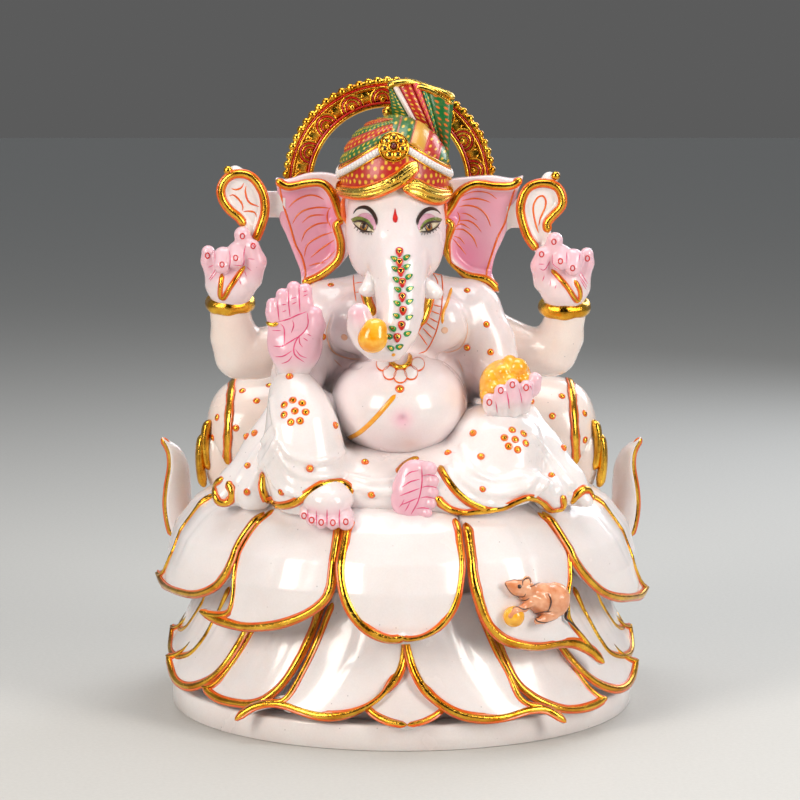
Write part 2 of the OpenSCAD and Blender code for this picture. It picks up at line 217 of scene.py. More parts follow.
def tube(path, normal, width, height, sides=10, closed=False, taper=0.0, sink=0.0):
    # An ellipse, width across and height along the surface normal, carried along the path.
    # taper narrows the ends over that many of the path's points; sink lowers it into the surface.
    path = np.asarray(path, float)
    n = len(path)
    tangent = unit(np.roll(path, -1, 0) - np.roll(path, 1, 0)) if closed else unit(np.gradient(path, axis=0))
    up = np.broadcast_to(np.asarray(normal, float), path.shape)
    up = unit(up - tangent * np.sum(up * tangent, 1, keepdims=True))
    side = np.cross(tangent, up)
    scale = np.ones(n)
    if taper and not closed:
        k = np.arange(n)
        scale = np.sqrt(np.clip(np.minimum(k, n - 1 - k) / taper, 0.0, 1.0)) * 0.97 + 0.03
    w = np.broadcast_to(width, (n,)) * scale / 2
    h = np.broadcast_to(height, (n,)) * scale / 2
    a = np.arange(sides) / sides * 2 * math.pi
    ring = (path[:, None] + side[:, None] * (np.cos(a)[None, :, None] * w[:, None, None])
            + up[:, None] * (np.sin(a)[None, :, None] * h[:, None, None]) - up[:, None] * sink)
    verts = ring.reshape(-1, 3)
    quads = gridFaces(n, sides, closed, True)
    if closed:
        return verts, [quads[:, ::-1]]
    caps = [np.stack([np.full(sides, n * sides), np.arange(sides), (np.arange(sides) + 1) % sides], 1),
            np.stack([np.full(sides, n * sides + 1), (n - 1) * sides + (np.arange(sides) + 1) % sides,
                      (n - 1) * sides + np.arange(sides)], 1)]
    verts = np.vstack([verts, ring[0].mean(0), ring[-1].mean(0)])
    return verts, [quads[:, ::-1], caps[0][:, ::-1], caps[1][:, ::-1]]


def lathe(profile, sides=96, centre=(0, 0, 0)):
    # A profile of (radius, height) points turned about the vertical axis, with both poles closed.
    p = np.asarray(profile, float)
    a = np.arange(sides) / sides * 2 * math.pi
    ring = np.stack([p[:, None, 0] * np.cos(a), p[:, None, 0] * np.sin(a),
                     np.broadcast_to(p[:, None, 1], (len(p), sides))], -1).reshape(-1, 3)
    n = len(p)
    k = np.arange(sides)
    low = np.stack([np.full(sides, n * sides), (k + 1) % sides, k], 1)
    high = np.stack([np.full(sides, n * sides + 1), (n - 1) * sides + k, (n - 1) * sides + (k + 1) % sides],
                    1)
    verts = np.vstack([ring, [0, 0, p[0, 1]], [0, 0, p[-1, 1]]]) + np.asarray(centre, float)
    return verts, [gridFaces(n, sides, False, True), low, high]


def join(shapes):
    # One set of vertices and faces out of several.
    verts, faces, start = [], [], 0
    for v, f in shapes:
        verts.append(v)
        faces += [block + start for block in f]
        start += len(v)
    return np.vstack(verts), faces


def addPiece(name, shape, mat, nodes=(), tint=None, paint=None, flat=False):
    # Puts a shape (vertices in mm, blocks of faces) into a mesh in metres that rides on the idol.
    verts, blocks = shape
    mesh = bpy.data.meshes.new(name)
    sizes = np.concatenate([np.full(len(b), b.shape[1]) for b in blocks])
    loops = np.concatenate([b.ravel() for b in blocks]).astype(np.int32)
    mesh.vertices.add(len(verts))
    mesh.vertices.foreach_set("co", (np.asarray(verts, np.float32) / 1000).ravel())
    mesh.loops.add(len(loops))
    mesh.loops.foreach_set("vertex_index", loops)
    mesh.polygons.add(len(sizes))
    mesh.polygons.foreach_set("loop_start", np.concatenate([[0], np.cumsum(sizes)[:-1]]).astype(np.int32))
    mesh.polygons.foreach_set("use_smooth", np.full(len(sizes), not flat))
    mesh.update(calc_edges=True)
    mesh.validate()
    if tint is not None:
        mesh.attributes.new("tint", "FLOAT", "POINT").data.foreach_set("value", np.asarray(tint, np.float32))
    if paint is not None:
        rgba = np.concatenate([paint, np.ones((len(verts), 1))], 1)
        mesh.attributes.new("paint", "FLOAT_COLOR", "POINT").data.foreach_set("color",
                rgba.astype(np.float32).ravel())
    mesh.materials.append(mat)
    obj = bpy.data.objects.new(name, mesh)
    bpy.context.scene.collection.objects.link(obj)
    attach(obj, "root")
    if nodes:
        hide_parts(*nodes)
    return obj


# Plinth and the heart of the lotus.

plinthShape = {"radius": 170.0, "height": 18.0, "edge": 2.0}

e = plinthShape["edge"]
arc = np.linspace(0, math.pi / 2, 7)
plinthSide = ([(0.5, 0), (60, 0), (120, 0), (plinthShape["radius"] - 0.8, 0), (plinthShape["radius"], 0.8)]
              + [(plinthShape["radius"] - e + e * math.cos(a), plinthShape["height"] - e + e * math.sin(a))
                 for a in arc]
              + [(150, 18), (120, 18), (60, 18), (0.5, 18)])
addPiece("plinthDisc", lathe(plinthSide, 192), marble, ["plinth"])

heartSide = [(0.5, 18), (120, 18.05), (152, 18.1), (149, 26), (141, 45), (130, 64), (122, 84), (119, 104),
             (119, 130), (121, 150), (121, 157), (117, 160.5), (90, 161), (40, 161), (0.5, 161)]
addPiece("lotusHeart", lathe(heartSide, 144), marblePetal, ["lotus_heart"])
print("plinth and lotus heart ready")


# Lotus petals.

# Each petal is given by two edges, in degrees round from the front and millimetres up, from the top
# of the petal to its tip: "near" is the edge on the side of the front, "far" the one away from it.
petalTiers = {
    "upper": {"heights": [40, 60, 77, 90, 110, 130, 150, 160, 166],
              "reach": [172, 171, 170, 169, 166, 159, 146, 133, 122]},
    "lower": {"heights": [10, 20, 40, 60, 80, 104], "reach": [171, 168, 158, 147, 138, 131]},
}
frontPetals = {
    "upperPetalFront": {"node": "upper_petal_1", "tier": "upper", "proud": 3, "swell": 6, "rim": 5.4,
        "near": [(-16, 164), (-16, 146), (-15.8, 124), (-14.2, 108), (-12, 96), (-9, 87), (-5.5, 82),
                 (-2.5, 81), (0.2, 84)],
        "far": [(17, 164), (16.4, 146), (15.6, 124), (13.6, 104), (10.6, 91), (7, 84), (3.5, 81.5),
                (1.6, 82), (0.4, 84)]},
    "upperPetalLeft1": {"node": "upper_petal_2", "tier": "upper", "proud": 1, "swell": 6, "rim": 4.6,
        "near": [(-16, 164), (-16.2, 145), (-16, 124), (-16.2, 111), (-18, 102), (-22, 93), (-28, 85),
                 (-34, 80.5), (-40, 78), (-46, 78.5), (-50, 81), (-53.5, 85)],
        "far": [(-41, 164), (-43, 154), (-45.5, 140), (-46, 122), (-45, 108), (-44.4, 96), (-45, 90),
                (-48, 87.5), (-52.6, 87)]},
    "upperPetalRight1": {"node": "upper_petal_3", "tier": "upper", "proud": 1, "swell": 6, "rim": 5.4,
        "near": [(17, 164), (16.8, 146), (16.4, 120), (17.6, 102), (19.5, 87), (23, 76), (28, 70),
                 (33, 67.5), (38, 68), (43, 66.5), (48, 59), (52, 48)],
        "far": [(43, 164), (46, 148), (48, 131), (46.6, 116), (44.6, 102), (44, 86), (47, 73), (50, 62),
                (52.8, 50)]},
    "upperPetalLeft2": {"node": "upper_petal_4", "tier": "upper", "proud": 4, "swell": 7, "rim": 4.4,
        "near": [(-40, 164), (-42.5, 152), (-44.5, 138), (-45, 124), (-46.5, 111), (-50, 102), (-56, 95),
                 (-63, 92), (-72, 90), (-82, 88), (-90, 92)],
        "far": [(-72, 164), (-76, 154), (-79, 140), (-80, 126), (-80, 113), (-82, 103), (-85, 97),
                (-89, 95)]},
    "upperPetalRight2": {"node": "upper_petal_5", "tier": "upper", "proud": 4, "swell": 7, "rim": 4.4,
        "near": [(42, 164), (44, 150), (45.5, 134), (46.5, 122), (49.5, 109), (55, 97), (62, 89.5),
                 (70, 85), (79, 81), (88, 82)],
        "far": [(73, 164), (77, 152), (79, 138), (80, 122), (80, 108), (82, 96), (85, 88), (88.4, 84)]},
    "lowerPetalLeft1": {"node": "lower_petal_1", "tier": "lower", "proud": 8, "swell": 4, "rim": 4.8,
        "near": [(1, 104), (1.6, 86), (1.8, 68), (0.6, 54), (-2.5, 42), (-6, 33), (-10, 27), (-14, 24),
                 (-18.5, 23.5), (-23, 26), (-27, 29), (-31, 29), (-34.5, 26.5), (-37, 21.5), (-38.6, 15.5)],
        "far": [(-20, 104), (-22, 90), (-24, 72), (-26, 54), (-28, 38), (-30, 31.5), (-33.6, 29),
                (-36.5, 24), (-38.8, 16.5)]},
    "lowerPetalRight1": {"node": "lower_petal_2", "tier": "lower", "proud": 10, "swell": 4, "rim": 4.8,
        "near": [(-1, 104), (-0.6, 86), (0.6, 68), (2.2, 54), (5, 41), (9, 31), (13, 25), (18, 22),
                 (23, 22), (28, 25), (32.5, 25.5), (35.4, 21), (37.4, 15)],
        "far": [(22, 104), (24, 84), (26, 66), (28, 50), (29, 36), (31, 30), (34, 27), (36, 22), (37.8, 16)]},
    "lowerPetalLeft2": {"node": "lower_petal_3", "tier": "lower", "proud": 5, "swell": 4, "rim": 4.0,
        "near": [(-22, 104), (-25, 72), (-29, 44), (-33, 30), (-37, 24.5), (-42, 23), (-47, 23),
                 (-51, 25.5), (-53.5, 30)],
        "far": [(-42, 104), (-46, 74), (-49, 48), (-50.5, 36), (-52, 33), (-53.8, 32)]},
    "lowerPetalRight2": {"node": "lower_petal_4", "tier": "lower", "proud": 5, "swell": 4, "rim": 4.0,
        "near": [(24, 104), (26, 70), (28.5, 44), (32, 32), (36.5, 24), (41, 19.5), (46, 18), (51, 19),
                 (54, 22)],
        "far": [(44, 104), (47, 74), (49.5, 48), (51, 34), (52.6, 26), (54.4, 23.5)]},
    "lowerPetalLeft3": {"node": "lower_petal_5", "tier": "lower", "proud": 9, "swell": 4, "rim": 4.4,
        "near": [(-42, 104), (-45, 76), (-47, 60), (-49, 46), (-52, 35), (-57, 27), (-62, 24), (-68, 25),
                 (-73, 30), (-77, 38)],
        "far": [(-62, 104), (-66, 80), (-69, 62), (-71, 50), (-74, 43), (-77.6, 40)]},
    "lowerPetalRight3": {"node": "lower_petal_6", "tier": "lower", "proud": 9, "swell": 4, "rim": 4.4,
        "near": [(41, 104), (44, 74), (46, 56), (49.5, 41), (54, 30), (60, 23), (66, 22), (72, 26),
                 (76.5, 35)],
        "far": [(62, 104), (66, 80), (69, 60), (71, 48), (74, 40), (77, 37)]},
    "lowerPetalLeft4": {"node": "lower_petal_7", "tier": "lower", "proud": 11, "swell": 3, "rim": 4.0,
        "near": [(-57, 104), (-60, 76), (-62, 58), (-65, 46), (-70, 40), (-76, 37), (-83, 38), (-89, 42),
                 (-93, 50)],
        "far": [(-78, 104), (-81, 84), (-84, 68), (-87, 58), (-90, 53), (-93.6, 52)]},
    "lowerPetalRight4": {"node": "lower_petal_8", "tier": "lower", "proud": 11, "swell": 3, "rim": 4.0,
        "near": [(57, 104), (60, 76), (62, 58), (64, 47), (69, 41), (76, 38), (83, 39), (89, 43), (92.6, 51)],
        "far": [(78, 104), (81, 84), (84, 68), (87, 58), (90, 54), (93.2, 53)]},
    "lowerPetalLeft5": {"node": "lower_petal_9", "tier": "lower", "proud": 12, "swell": 3, "rim": 3.8,
        "near": [(-70, 104), (-72, 80), (-75, 64), (-79, 55), (-85, 51), (-92, 50), (-99, 52), (-105, 58),
                 (-108, 67)],
        "far": [(-92, 104), (-95, 90), (-98, 78), (-101, 72), (-105, 69), (-108.6, 69)]},
    "lowerPetalRight5": {"node": "lower_petal_10", "tier": "lower", "proud": 12, "swell": 3, "rim": 3.8,
        "near": [(70, 104), (72, 80), (75, 64), (79, 56), (85, 52), (92, 51), (99, 53), (105, 59), (108, 68)],
        "far": [(92, 104), (95, 90), (98, 78), (101, 72), (105, 70), (108.6, 70)]},
    "lowerPetalMiddle": {"node": "lower_middle_petal", "tier": "lower", "proud": 2, "swell": 4, "rim": 4.0,
        "near": [(-14, 104), (-14, 80), (-13, 56), (-11, 38), (-8, 28), (-4.5, 23), (-1, 21), (1, 20.8)],
        "far": [(16, 104), (16, 80), (15, 56), (13, 38), (10, 28), (6.5, 23), (3, 21), (1.4, 20.8)]},
}


def petalPoint(petal, s, t, near, far):
    # s runs from -1 at the near edge to 1 at the far one, t from the top to the tip. The angle and the
    # height slide from one edge to the other; the reach follows the tier, plus a swell across the middle,
    # a flare towards the tip and a soft crease down the centre.
    tier = petalTiers[petal["tier"]]
    f = (s + 1) / 2
    place = near * (1 - f)[..., None] + far * f[..., None]
    reach = np.interp(place[..., 1], tier["heights"], tier["reach"])
    reach = reach + petal["proud"] + petal["swell"] * (1 - s ** 2) * np.sin(np.pi
            * np.clip(t * 1.15, 0, 1)) ** 0.7
    reach = reach + petal.get("flare", 9.0) * t ** 7
    fade = np.clip((0.72 - t) / 0.3, 0, 1) * np.clip(t / 0.1, 0, 1)
    crease = s + 0.12 * np.sin(3 * t + petal["proud"])
    reach = reach + fade * (0.9 * np.exp(-(crease / 0.035) ** 2) - 0.7 * np.exp(-((crease - 0.1) / 0.09) ** 2)
                            - 0.5 * np.exp(-((crease + 0.45) / 0.12) ** 2))
    a = np.radians(place[..., 0])
    return np.stack([reach * np.sin(a), -reach * np.cos(a), place[..., 1]], -1)


def petalShapes(petal, rows=56, cols=37, thick=7.0):
    near = smoothLine(petal["near"], rows)
    far = smoothLine(petal["far"], rows)
    t = np.linspace(0, 1, rows)
    s = np.sin(np.linspace(-1, 1, cols) * math.pi / 2)

    def surface(sv):
        return petalPoint(petal, sv, t[:, None] + 0 * sv, near[:, None], far[:, None])

    front = surface(np.broadcast_to(s, (rows, cols)).copy())
    du = np.gradient(front, axis=1)
    dv = np.gradient(front, axis=0)
    normal = unit(np.cross(du, dv))
    outward = front * [1, 1, 0]
    normal = np.where(np.sum(normal * outward, -1, keepdims=True) < 0, -normal, normal)
    normal = unit(normal * 0.6 + unit(outward) * 0.4)
    width = np.linalg.norm(front[:, -1] - front[:, 0], axis=1)[:, None]
    # the two faces part by the thickness and close on each other in a round edge
    fromEdge = np.clip((1 - np.abs(s))[None, :] * width / 2 / (thick / 2), 0, 1)
    half = thick / 2 * np.sqrt(1 - (1 - fromEdge) ** 2)
    outer = front - normal * (thick / 2 - half)[..., None]
    inner = front - normal * (thick / 2 + half)[..., None]
    loop = np.concatenate([outer, inner[:, -2:0:-1]], 1)
    m = loop.shape[1]
    top, tip = loop[0].mean(0), loop[-1].mean(0)
    verts = np.vstack([loop.reshape(-1, 3), top, tip])
    k = np.arange(m)
    faces = [gridFaces(rows, m, False, True),
             np.stack([np.full(m, rows * m), (k + 1) % m, k], 1),
             np.stack([np.full(m, rows * m + 1), (rows - 1) * m + k, (rows - 1) * m + (k + 1) % m], 1)]
    if petal["near"][0][0] > petal["far"][0][0]:
        faces = [f[:, ::-1] for f in faces]
    # gold bead round the edge, with the painted line wider and flatter beneath it
    ends = slice(petal.get("rimFrom", 4), rows)
    beads, lines = [], []
    for side in (-1, 1):
        inset = np.clip(petal["rim"] * 0.62 / np.maximum(width[:, 0] / 2, 0.01), 0, 0.999)
        place = surface((side * (1 - inset))[:, None])[:, 0]
        thin = petal["rim"] * (petal.get("farRim", 0.62) if side > 0 else 1.0)
        swell = thin * (1 + 0.08 * np.sin(np.linspace(0, 23, rows)))
        path, across = place[ends], normal[ends, 0 if side < 0 else -1]
        finer = smoothLine(path, 110)
        ups = unit(smoothLine(across, 110))
        w = np.interp(np.linspace(0, 1, 110), np.linspace(0, 1, len(path)), swell[ends])
        beads.append(tube(finer, ups, w, 4.2, 10, taper=4))
        lines.append(tube(finer, ups, w + 2.6, 1.3, 8, taper=4))
    return (verts, faces), join(beads), join(lines)


def addPetal(name, petal, nodes):
    body, bead, line = petalShapes(petal)
    addPiece(name, body, marblePetal, nodes)
    addPiece(name + "Rim", bead, gold)
    addPiece(name + "Line", line, orangePaint)


for petalName, petal in frontPetals.items():
    addPetal(petalName, petal, [petal["node"]])
print("front petals ready")


def addRear(name, petal, turn, nodes):
    # a petal like one of the front ones, turned round to the back
    copy = dict(petal)
    copy["near"] = [(a + turn, z) for a, z in petal["near"]]
    copy["far"] = [(a + turn, z) for a, z in petal["far"]]
    addPetal(name, copy, nodes)


# The two side petals of the upper tier and all the rear ones repeat the front shapes, turned round.
sidePetal = {"tier": "upper", "proud": 2, "swell": 7, "rim": 4.4,
    "near": [(78, 164), (79, 148), (80, 130), (81, 114), (84, 104), (89, 96), (95, 91), (102, 89),
             (109, 89), (115, 91), (119, 96)],
    "far": [(103, 164), (106, 150), (107, 134), (108, 116), (109, 106), (112, 101), (115, 99), (118.4, 98)]}
rearPetal = dict(sidePetal, proud=3)


def mirrored(petal):
    copy = dict(petal)
    copy["near"] = [(-a, z) for a, z in petal["near"]]
    copy["far"] = [(-a, z) for a, z in petal["far"]]
    return copy


addPetal("upperPetalRight3", sidePetal, ["upper_petal_7"])
addPetal("upperPetalLeft3", mirrored(sidePetal), ["upper_petal_6"])
addRear("upperPetalRearRight1", rearPetal, 29, ["upper_petals_rear"])
addRear("upperPetalRearLeft1", mirrored(rearPetal), -29, ["upper_petals_rear"])
addRear("upperPetalRearRight2", rearPetal, 56, ["upper_petals_rear"])
addRear("upperPetalRearLeft2", mirrored(rearPetal), -56, ["upper_petals_rear"])
addRear("upperPetalRearMiddle", frontPetals["upperPetalFront"], 180, ["upper_petals_rear"])
lowBack = {"tier": "lower", "proud": 8, "swell": 4, "rim": 4.2,
    "near": [(92, 104), (95, 80), (97, 60), (100, 44), (104, 33), (110, 27), (116, 26), (122, 29), (127, 36)],
    "far": [(114, 104), (117, 80), (119, 60), (121, 47), (124, 41), (127.6, 38)]}
for k, turn in enumerate((0, 23, 46)):
    addRear("lowerPetalRearRight%d" % (k + 1), dict(lowBack, proud=8 - 2 * k), turn, ["lower_petals_rear"])
    addRear("lowerPetalRearLeft%d" % (k + 1), mirrored(dict(lowBack, proud=8 - 2 * k)), -turn,
            ["lower_petals_rear"])
addRear("lowerPetalRearMiddle", dict(frontPetals["lowerPetalMiddle"], proud=0), 180, ["lower_petals_rear"])

# Upright petals at the two sides: a curled blade between an outer and an inner edge, in mm across, back and
# up.
uprightPetal = {
    "outer": [(172, 48, 108), (176, 50, 120), (178, 52, 134), (177, 52, 148), (174.5, 52, 162),
              (174.5, 52, 172), (176.5, 52, 179), (181, 52, 186.5)],
    "inner": [(150, 60, 112), (157, 62, 122), (160, 62, 136), (160.5, 62, 150), (161.5, 60, 162),
              (164.5, 58, 172), (170, 55, 180), (180.4, 52.4, 186.9)],
}


def uprightShape(side, rows=48, cols=21, thick=8.0):
    # The blade slides from the outer edge to the inner one, bowed out in the middle, round at its edges.
    outer = smoothLine(uprightPetal["outer"], rows) * [side, 1, 1]
    inner = smoothLine(uprightPetal["inner"], rows) * [side, 1, 1]
    s = np.sin(np.linspace(-1, 1, cols) * math.pi / 2)
    f = ((s + 1) / 2)[None, :, None]
    mid = outer[:, None] * (1 - f) + inner[:, None] * f
    width = np.linalg.norm(outer - inner, axis=1)[:, None]
    front = np.array([side * 0.25, -1.0, 0.1])
    front = front / np.linalg.norm(front)
    mid = mid + front * (0.16 * width * (1 - s ** 2))[..., None]
    half = thick / 2 * np.sqrt(1 - (1 - np.clip((1 - np.abs(s)) * width / thick, 0, 1)) ** 2)
    loop = np.concatenate([mid + front * half[..., None], (mid - front * half[..., None] * 1.6)[:,
            -2:0:-1]], 1)
    m = loop.shape[1]
    verts = np.vstack([loop.reshape(-1, 3), loop[0].mean(0), loop[-1].mean(0)])
    k = np.arange(m)
    faces = [gridFaces(rows, m, False, True), np.stack([np.full(m, rows * m), (k + 1) % m, k], 1),
             np.stack([np.full(m, rows * m + 1), (rows - 1) * m + k, (rows - 1) * m + (k + 1) % m], 1)]
    if side > 0:
        faces = [x[:, ::-1] for x in faces]
    edge = smoothLine(mid[2:, 1] + front * half[2:, 1:2], 90)
    return (verts, faces), tube(edge, front, 4.0, 4.0, 10, taper=4), tube(edge, front, 6.4, 1.6, 8, taper=4)


for side, word in ((-1, "Left"), (1, "Right")):
    blade, bead, line = uprightShape(side)
    addPiece("uprightPetal" + word, blade, marblePetal, ["upright_petal_" + word.lower()])
    addPiece("uprightPetal" + word + "Rim", bead, gold)
    addPiece("uprightPetal" + word + "Line", line, orangePaint)
print("all petals ready")


# Carving: rounded bodies as distance fields.

def ball(p, centre, radii):
    # Distance to an ellipsoid, near enough: how far out in the stretched space, scaled back.
    q = (p - centre) / radii
    far = np.sqrt(np.einsum("ij,ij->i", q, q))
    q = q / radii
    return far * (far - 1) / np.maximum(np.sqrt(np.einsum("ij,ij->i", q, q)), 1e-6)


def limb(p, a, b):
    # Distance to a bar whose radius slides from one end's to the other's; ends are (x, y, z, radius).
    a, b = np.asarray(a, float), np.asarray(b, float)
    along = b[:3] - a[:3]
    pa = p - a[:3]
    h = np.clip(pa @ along / (along @ along), 0, 1)
    d = pa - h[:, None] * along
    return np.sqrt(np.einsum("ij,ij->i", d, d)) - (a[3] + (b[3] - a[3]) * h)


def meld(k, *fields):
    # Union of fields with a fillet about k wide where they meet.
    total = fields[0]
    for f in fields[1:]:
        h = np.clip(k - np.abs(total - f), 0, None) / k
        total = np.minimum(total, f) - h * h * k / 4
    return total


def chain(p, k, *points):
    return meld(k, *[limb(p, a, b) for a, b in zip(points[:-1], points[1:])])


def carve(field, low, high, step):
    # One vertex in each grid cell that the surface crosses, four cells joined round each crossed grid
    # edge, then every vertex is slid along the field's slope onto the surface itself.
    low, high = np.asarray(low, float), np.asarray(high, float)
    n = np.ceil((high - low) / step).astype(int) + 1
    axes = [low[k] + step * np.arange(n[k]) for k in range(3)]
    value = np.empty(n)
    for i in range(0, n[0], 24):      # a slab at a time, to keep memory small
        block = np.stack(np.meshgrid(axes[0][i:i + 24], axes[1], axes[2], indexing="ij"), -1)
        value[i:i + 24] = field(block.reshape(-1, 3)).reshape(block.shape[:3])
    inside = value < 0
    count = sum(inside[i:n[0] - 1 + i, j:n[1] - 1 + j, k:n[2] - 1 + k].astype(np.int8)
                for i in (0, 1) for j in (0, 1) for k in (0, 1))
    cells = np.argwhere((count > 0) & (count < 8))
    index = np.full(n - 1, -1)
    index[tuple(cells.T)] = np.arange(len(cells))
    total, hits = np.zeros((len(cells), 3)), np.zeros(len(cells))
    for axis in range(3):
        other = [k for k in range(3) if k != axis]
        for i in (0, 1):
            for j in (0, 1):
                a = cells.copy()
                a[:, other[0]] += i
                a[:, other[1]] += j
                b = a.copy()
                b[:, axis] += 1
                fa, fb = value[tuple(a.T)], value[tuple(b.T)]
                crossed = (fa < 0) != (fb < 0)
                t = np.where(crossed, fa / np.where(crossed, fa - fb, 1), 0)
                spot = a - cells.astype(float)
                spot[:, axis] += t
                total += spot * crossed[:, None]
                hits += crossed
    verts = low + step * (cells + total / hits[:, None])
    quads = []
    for axis in range(3):
        u, v = [k for k in range(3) if k != axis]
        here = inside[tuple(slice(0, n[k] - 1) if k == axis else slice(1, n[k] - 1) for k in range(3))]
        there = inside[tuple(slice(1, n[k]) if k == axis else slice(1, n[k] - 1) for k in range(3))]
        spot = np.argwhere(here != there)
        inward = here[tuple(spot.T)]
        spot[:, u] += 1
        spot[:, v] += 1
        corners = []
        for du, dv in ((0, 0), (1, 0), (1, 1), (0, 1)):
            c = spot.copy()
            c[:, u] -= du
            c[:, v] -= dv
            corners.append(index[tuple(c.T)])
        quad = np.stack(corners, 1)
        turn = inward if axis != 1 else ~inward
        quad[~turn] = quad[~turn][:, ::-1]
        quads.append(quad)
    quads = np.vstack(quads)
    for k in range(3):
        d, g = slope(field, verts)
        verts = verts - g * np.clip(d, -step / 2, step / 2)[:, None]
    return verts, [quads], slope(field, verts)[1]


def slope(field, p, gap=0.15):
    # The field's value, and the direction in which it grows.
    g = np.stack([field(p + e) - field(p - e) for e in np.eye(3) * gap], 1) / (2 * gap)
    size = np.maximum(np.linalg.norm(g, axis=1, keepdims=True), 0.2)
    return field(p) / size[:, 0], g / np.maximum(np.linalg.norm(g, axis=1, keepdims=True), 1e-6)


eyePoint = np.array([0.0, -studio["distance"], studio["height"]])


sightDepth = 70.0


def lay(field, points, plane, lift=0.0):
    # Points (across, up) on an upright plane, carried along lines of sight from the front onto the surface.
    pts = np.asarray(points, float)
    target = np.stack([pts[:, 0], np.full(len(pts), float(plane)), pts[:, 1]], 1)
    ray = unit(target - eyePoint)
    p = target - ray * 70
    closest, room = p.copy(), np.full(len(p), 1e9)
    for k in range(60):
        gap = field(p)
        nearer = (gap < room) & (p[:, 1] < plane + sightDepth)
        closest[nearer], room[nearer] = p[nearer], gap[nearer]
        p = p + ray * np.clip(gap, -4, 6)[:, None] * 0.8
    # a line of sight that passes beside the surface lands on its nearest edge instead
    missed = (room > 0.4) | (p[:, 1] > plane + sightDepth)
    if missed.any():
        p[missed] = drawIn(field, closest[missed])
    up = slope(field, p)[1]
    return p + up * lift, up


def drawIn(field, p):
    # points beside a surface, moved to the nearest place on it
    for k in range(14):
        p = p - slope(field, p)[1] * np.clip(field(p), -6, 6)[:, None] * 0.8
    return p


def steady(field, path, lift, step=6.0):
    # A point that falls far behind its neighbour is set beside that neighbour and drawn onto the surface,
    # so a line follows the edge of a shape round and never leaps to what lies behind it.
    middle, last = len(path) // 2, len(path) - 1
    flat, out = path.copy(), path.copy()
    for order, side in ((range(middle + 1, last + 1), 1), (range(middle - 1, -1, -1), -1)):
        for i in order:
            if abs(out[i, 1] - out[i - side, 1]) > step:
                across = flat[i, [0, 2]] - flat[i - side, [0, 2]]
                across = across * min(1.0, 2.0 / max(np.linalg.norm(across), 1e-6))
                beside = out[i - side] + np.array([across[0], 0.0, across[1]])
                out[i] = drawIn(field, beside[None])[0]
    up = slope(field, out)[1]
    moved = np.any(out != path, axis=1)
    out[moved] += up[moved] * lift
    return out, up


def brushLine(field, points, plane, width, height=0.5, count=None, closed=False, taper=3, lift=0.0):
    # A line drawn from the front and laid on a surface, as a low rounded ridge of paint or leaf.
    flat = np.asarray(points, float)
    length = np.linalg.norm(np.diff(flat, axis=0), axis=1).sum()
    count = count or int(max(8, min(120, length / 0.9)))
    path, up = lay(field, smoothLine(flat, count, closed), plane, lift)
    if np.abs(np.diff(path[:, 1])).max() > 6:
        path, up = steady(field, path, lift)
    return tube(path, up, width, height * 2, 8, closed, taper=0 if closed else taper)


def press(verts, normals, line, depth, width):
    # Pushes the surface in by depth (or out, if negative) along a line, in a soft channel of that width.
    line = np.asarray(line, float)
    near = np.full(len(verts), 1e9)
    low, high = line.min(0) - 4 * width, line.max(0) + 4 * width
    pick = np.all((verts > low) & (verts < high), 1)
    p = verts[pick]
    best = np.full(len(p), 1e9)
    for a, b in zip(line[:-1], line[1:]):
        along = b - a
        h = np.clip((p - a) @ along / max(along @ along, 1e-9), 0, 1)
        best = np.minimum(best, np.linalg.norm(p - a - h[:, None] * along, axis=1))
    out = verts.copy()
    out[pick] -= normals[pick] * (depth * np.exp(-(best / width) ** 2))[:, None]
    return out


def dab(field, spots, plane, radius, height=0.9, stretch=1.0, sides=14):
    # Small raised domes at points drawn from the front.
    centres, ups = lay(field, np.asarray(spots, float)[:, :2], plane)
    rings = [(1.0, -0.3), (1.0, 0.25), (0.86, 0.62), (0.55, 0.9), (0.18, 1.0)]
    a = np.arange(sides) / sides * 2 * math.pi
    shapes = []
    for c, up in zip(centres, ups):
        side = unit(np.cross(up, [0.0, 0.0, 1.0]))
        top = np.cross(side, up)
        ring = np.concatenate([c + r * radius * (np.cos(a)[:, None] * side + np.sin(a)[:, None] * top
                * stretch)
                               + up * h * height for r, h in rings])
        n = len(rings)
        k = np.arange(sides)
        faces = [gridFaces(n, sides, False, True)[:, ::-1],
                 np.stack([np.full(sides, n * sides), (k + 1) % sides, k], 1)[:, ::-1],
                 np.stack([np.full(sides, n * sides + 1), (n - 1) * sides + k,
                           (n - 1) * sides + (k + 1) % sides], 1)[:, ::-1]]
        shapes.append((np.vstack([ring, c - up * height * 0.3, c + up * height]), faces))
    return join(shapes)


def smoothstep(low, high, value):
    t = np.clip((value - low) / (high - low), 0, 1)
    return t * t * (3 - 2 * t)


# The figure.

torsoShape = {
    "belly": ((-1.8, -60, 228), (49, 59, 38.4)),
    "chest": ((-4, -36, 283), (42, 34, 30)),
    "back": ((-4, 0, 262), (54, 30, 58)),
    "breasts": (((-33, -57, 284), (21, 17, 20)), ((26, -58, 285), (21, 17, 20))),
    "shoulders": ((-53, -26, 291, 20), (47, -26, 291, 21)),
}


def torsoField(p):
    s = torsoShape
    body = meld(26, ball(p, *s["back"]), ball(p, *s["chest"]), limb(p, s["shoulders"][0], s["shoulders"][1]))
    body = meld(12, body, ball(p, (-45, -14, 248), (25, 30, 36)), ball(p, (38, -14, 248), (25, 30, 36)))
    body = meld(9, body, ball(p, *s["breasts"][0]), ball(p, *s["breasts"][1]))
    rightArm = chain(p, 10, (50, -30, 288, 22), (60, -34, 268, 20), (66, -40, 247, 18), (74, -58, 240, 14))
    leftArm = chain(p, 10, (-56, -30, 288, 21), (-68, -40, 262, 19), (-74, -60, 248, 17), (-76, -84, 256, 13))
    body = meld(12, body, rightArm, leftArm)
    return meld(7, body, ball(p, *s["belly"]))


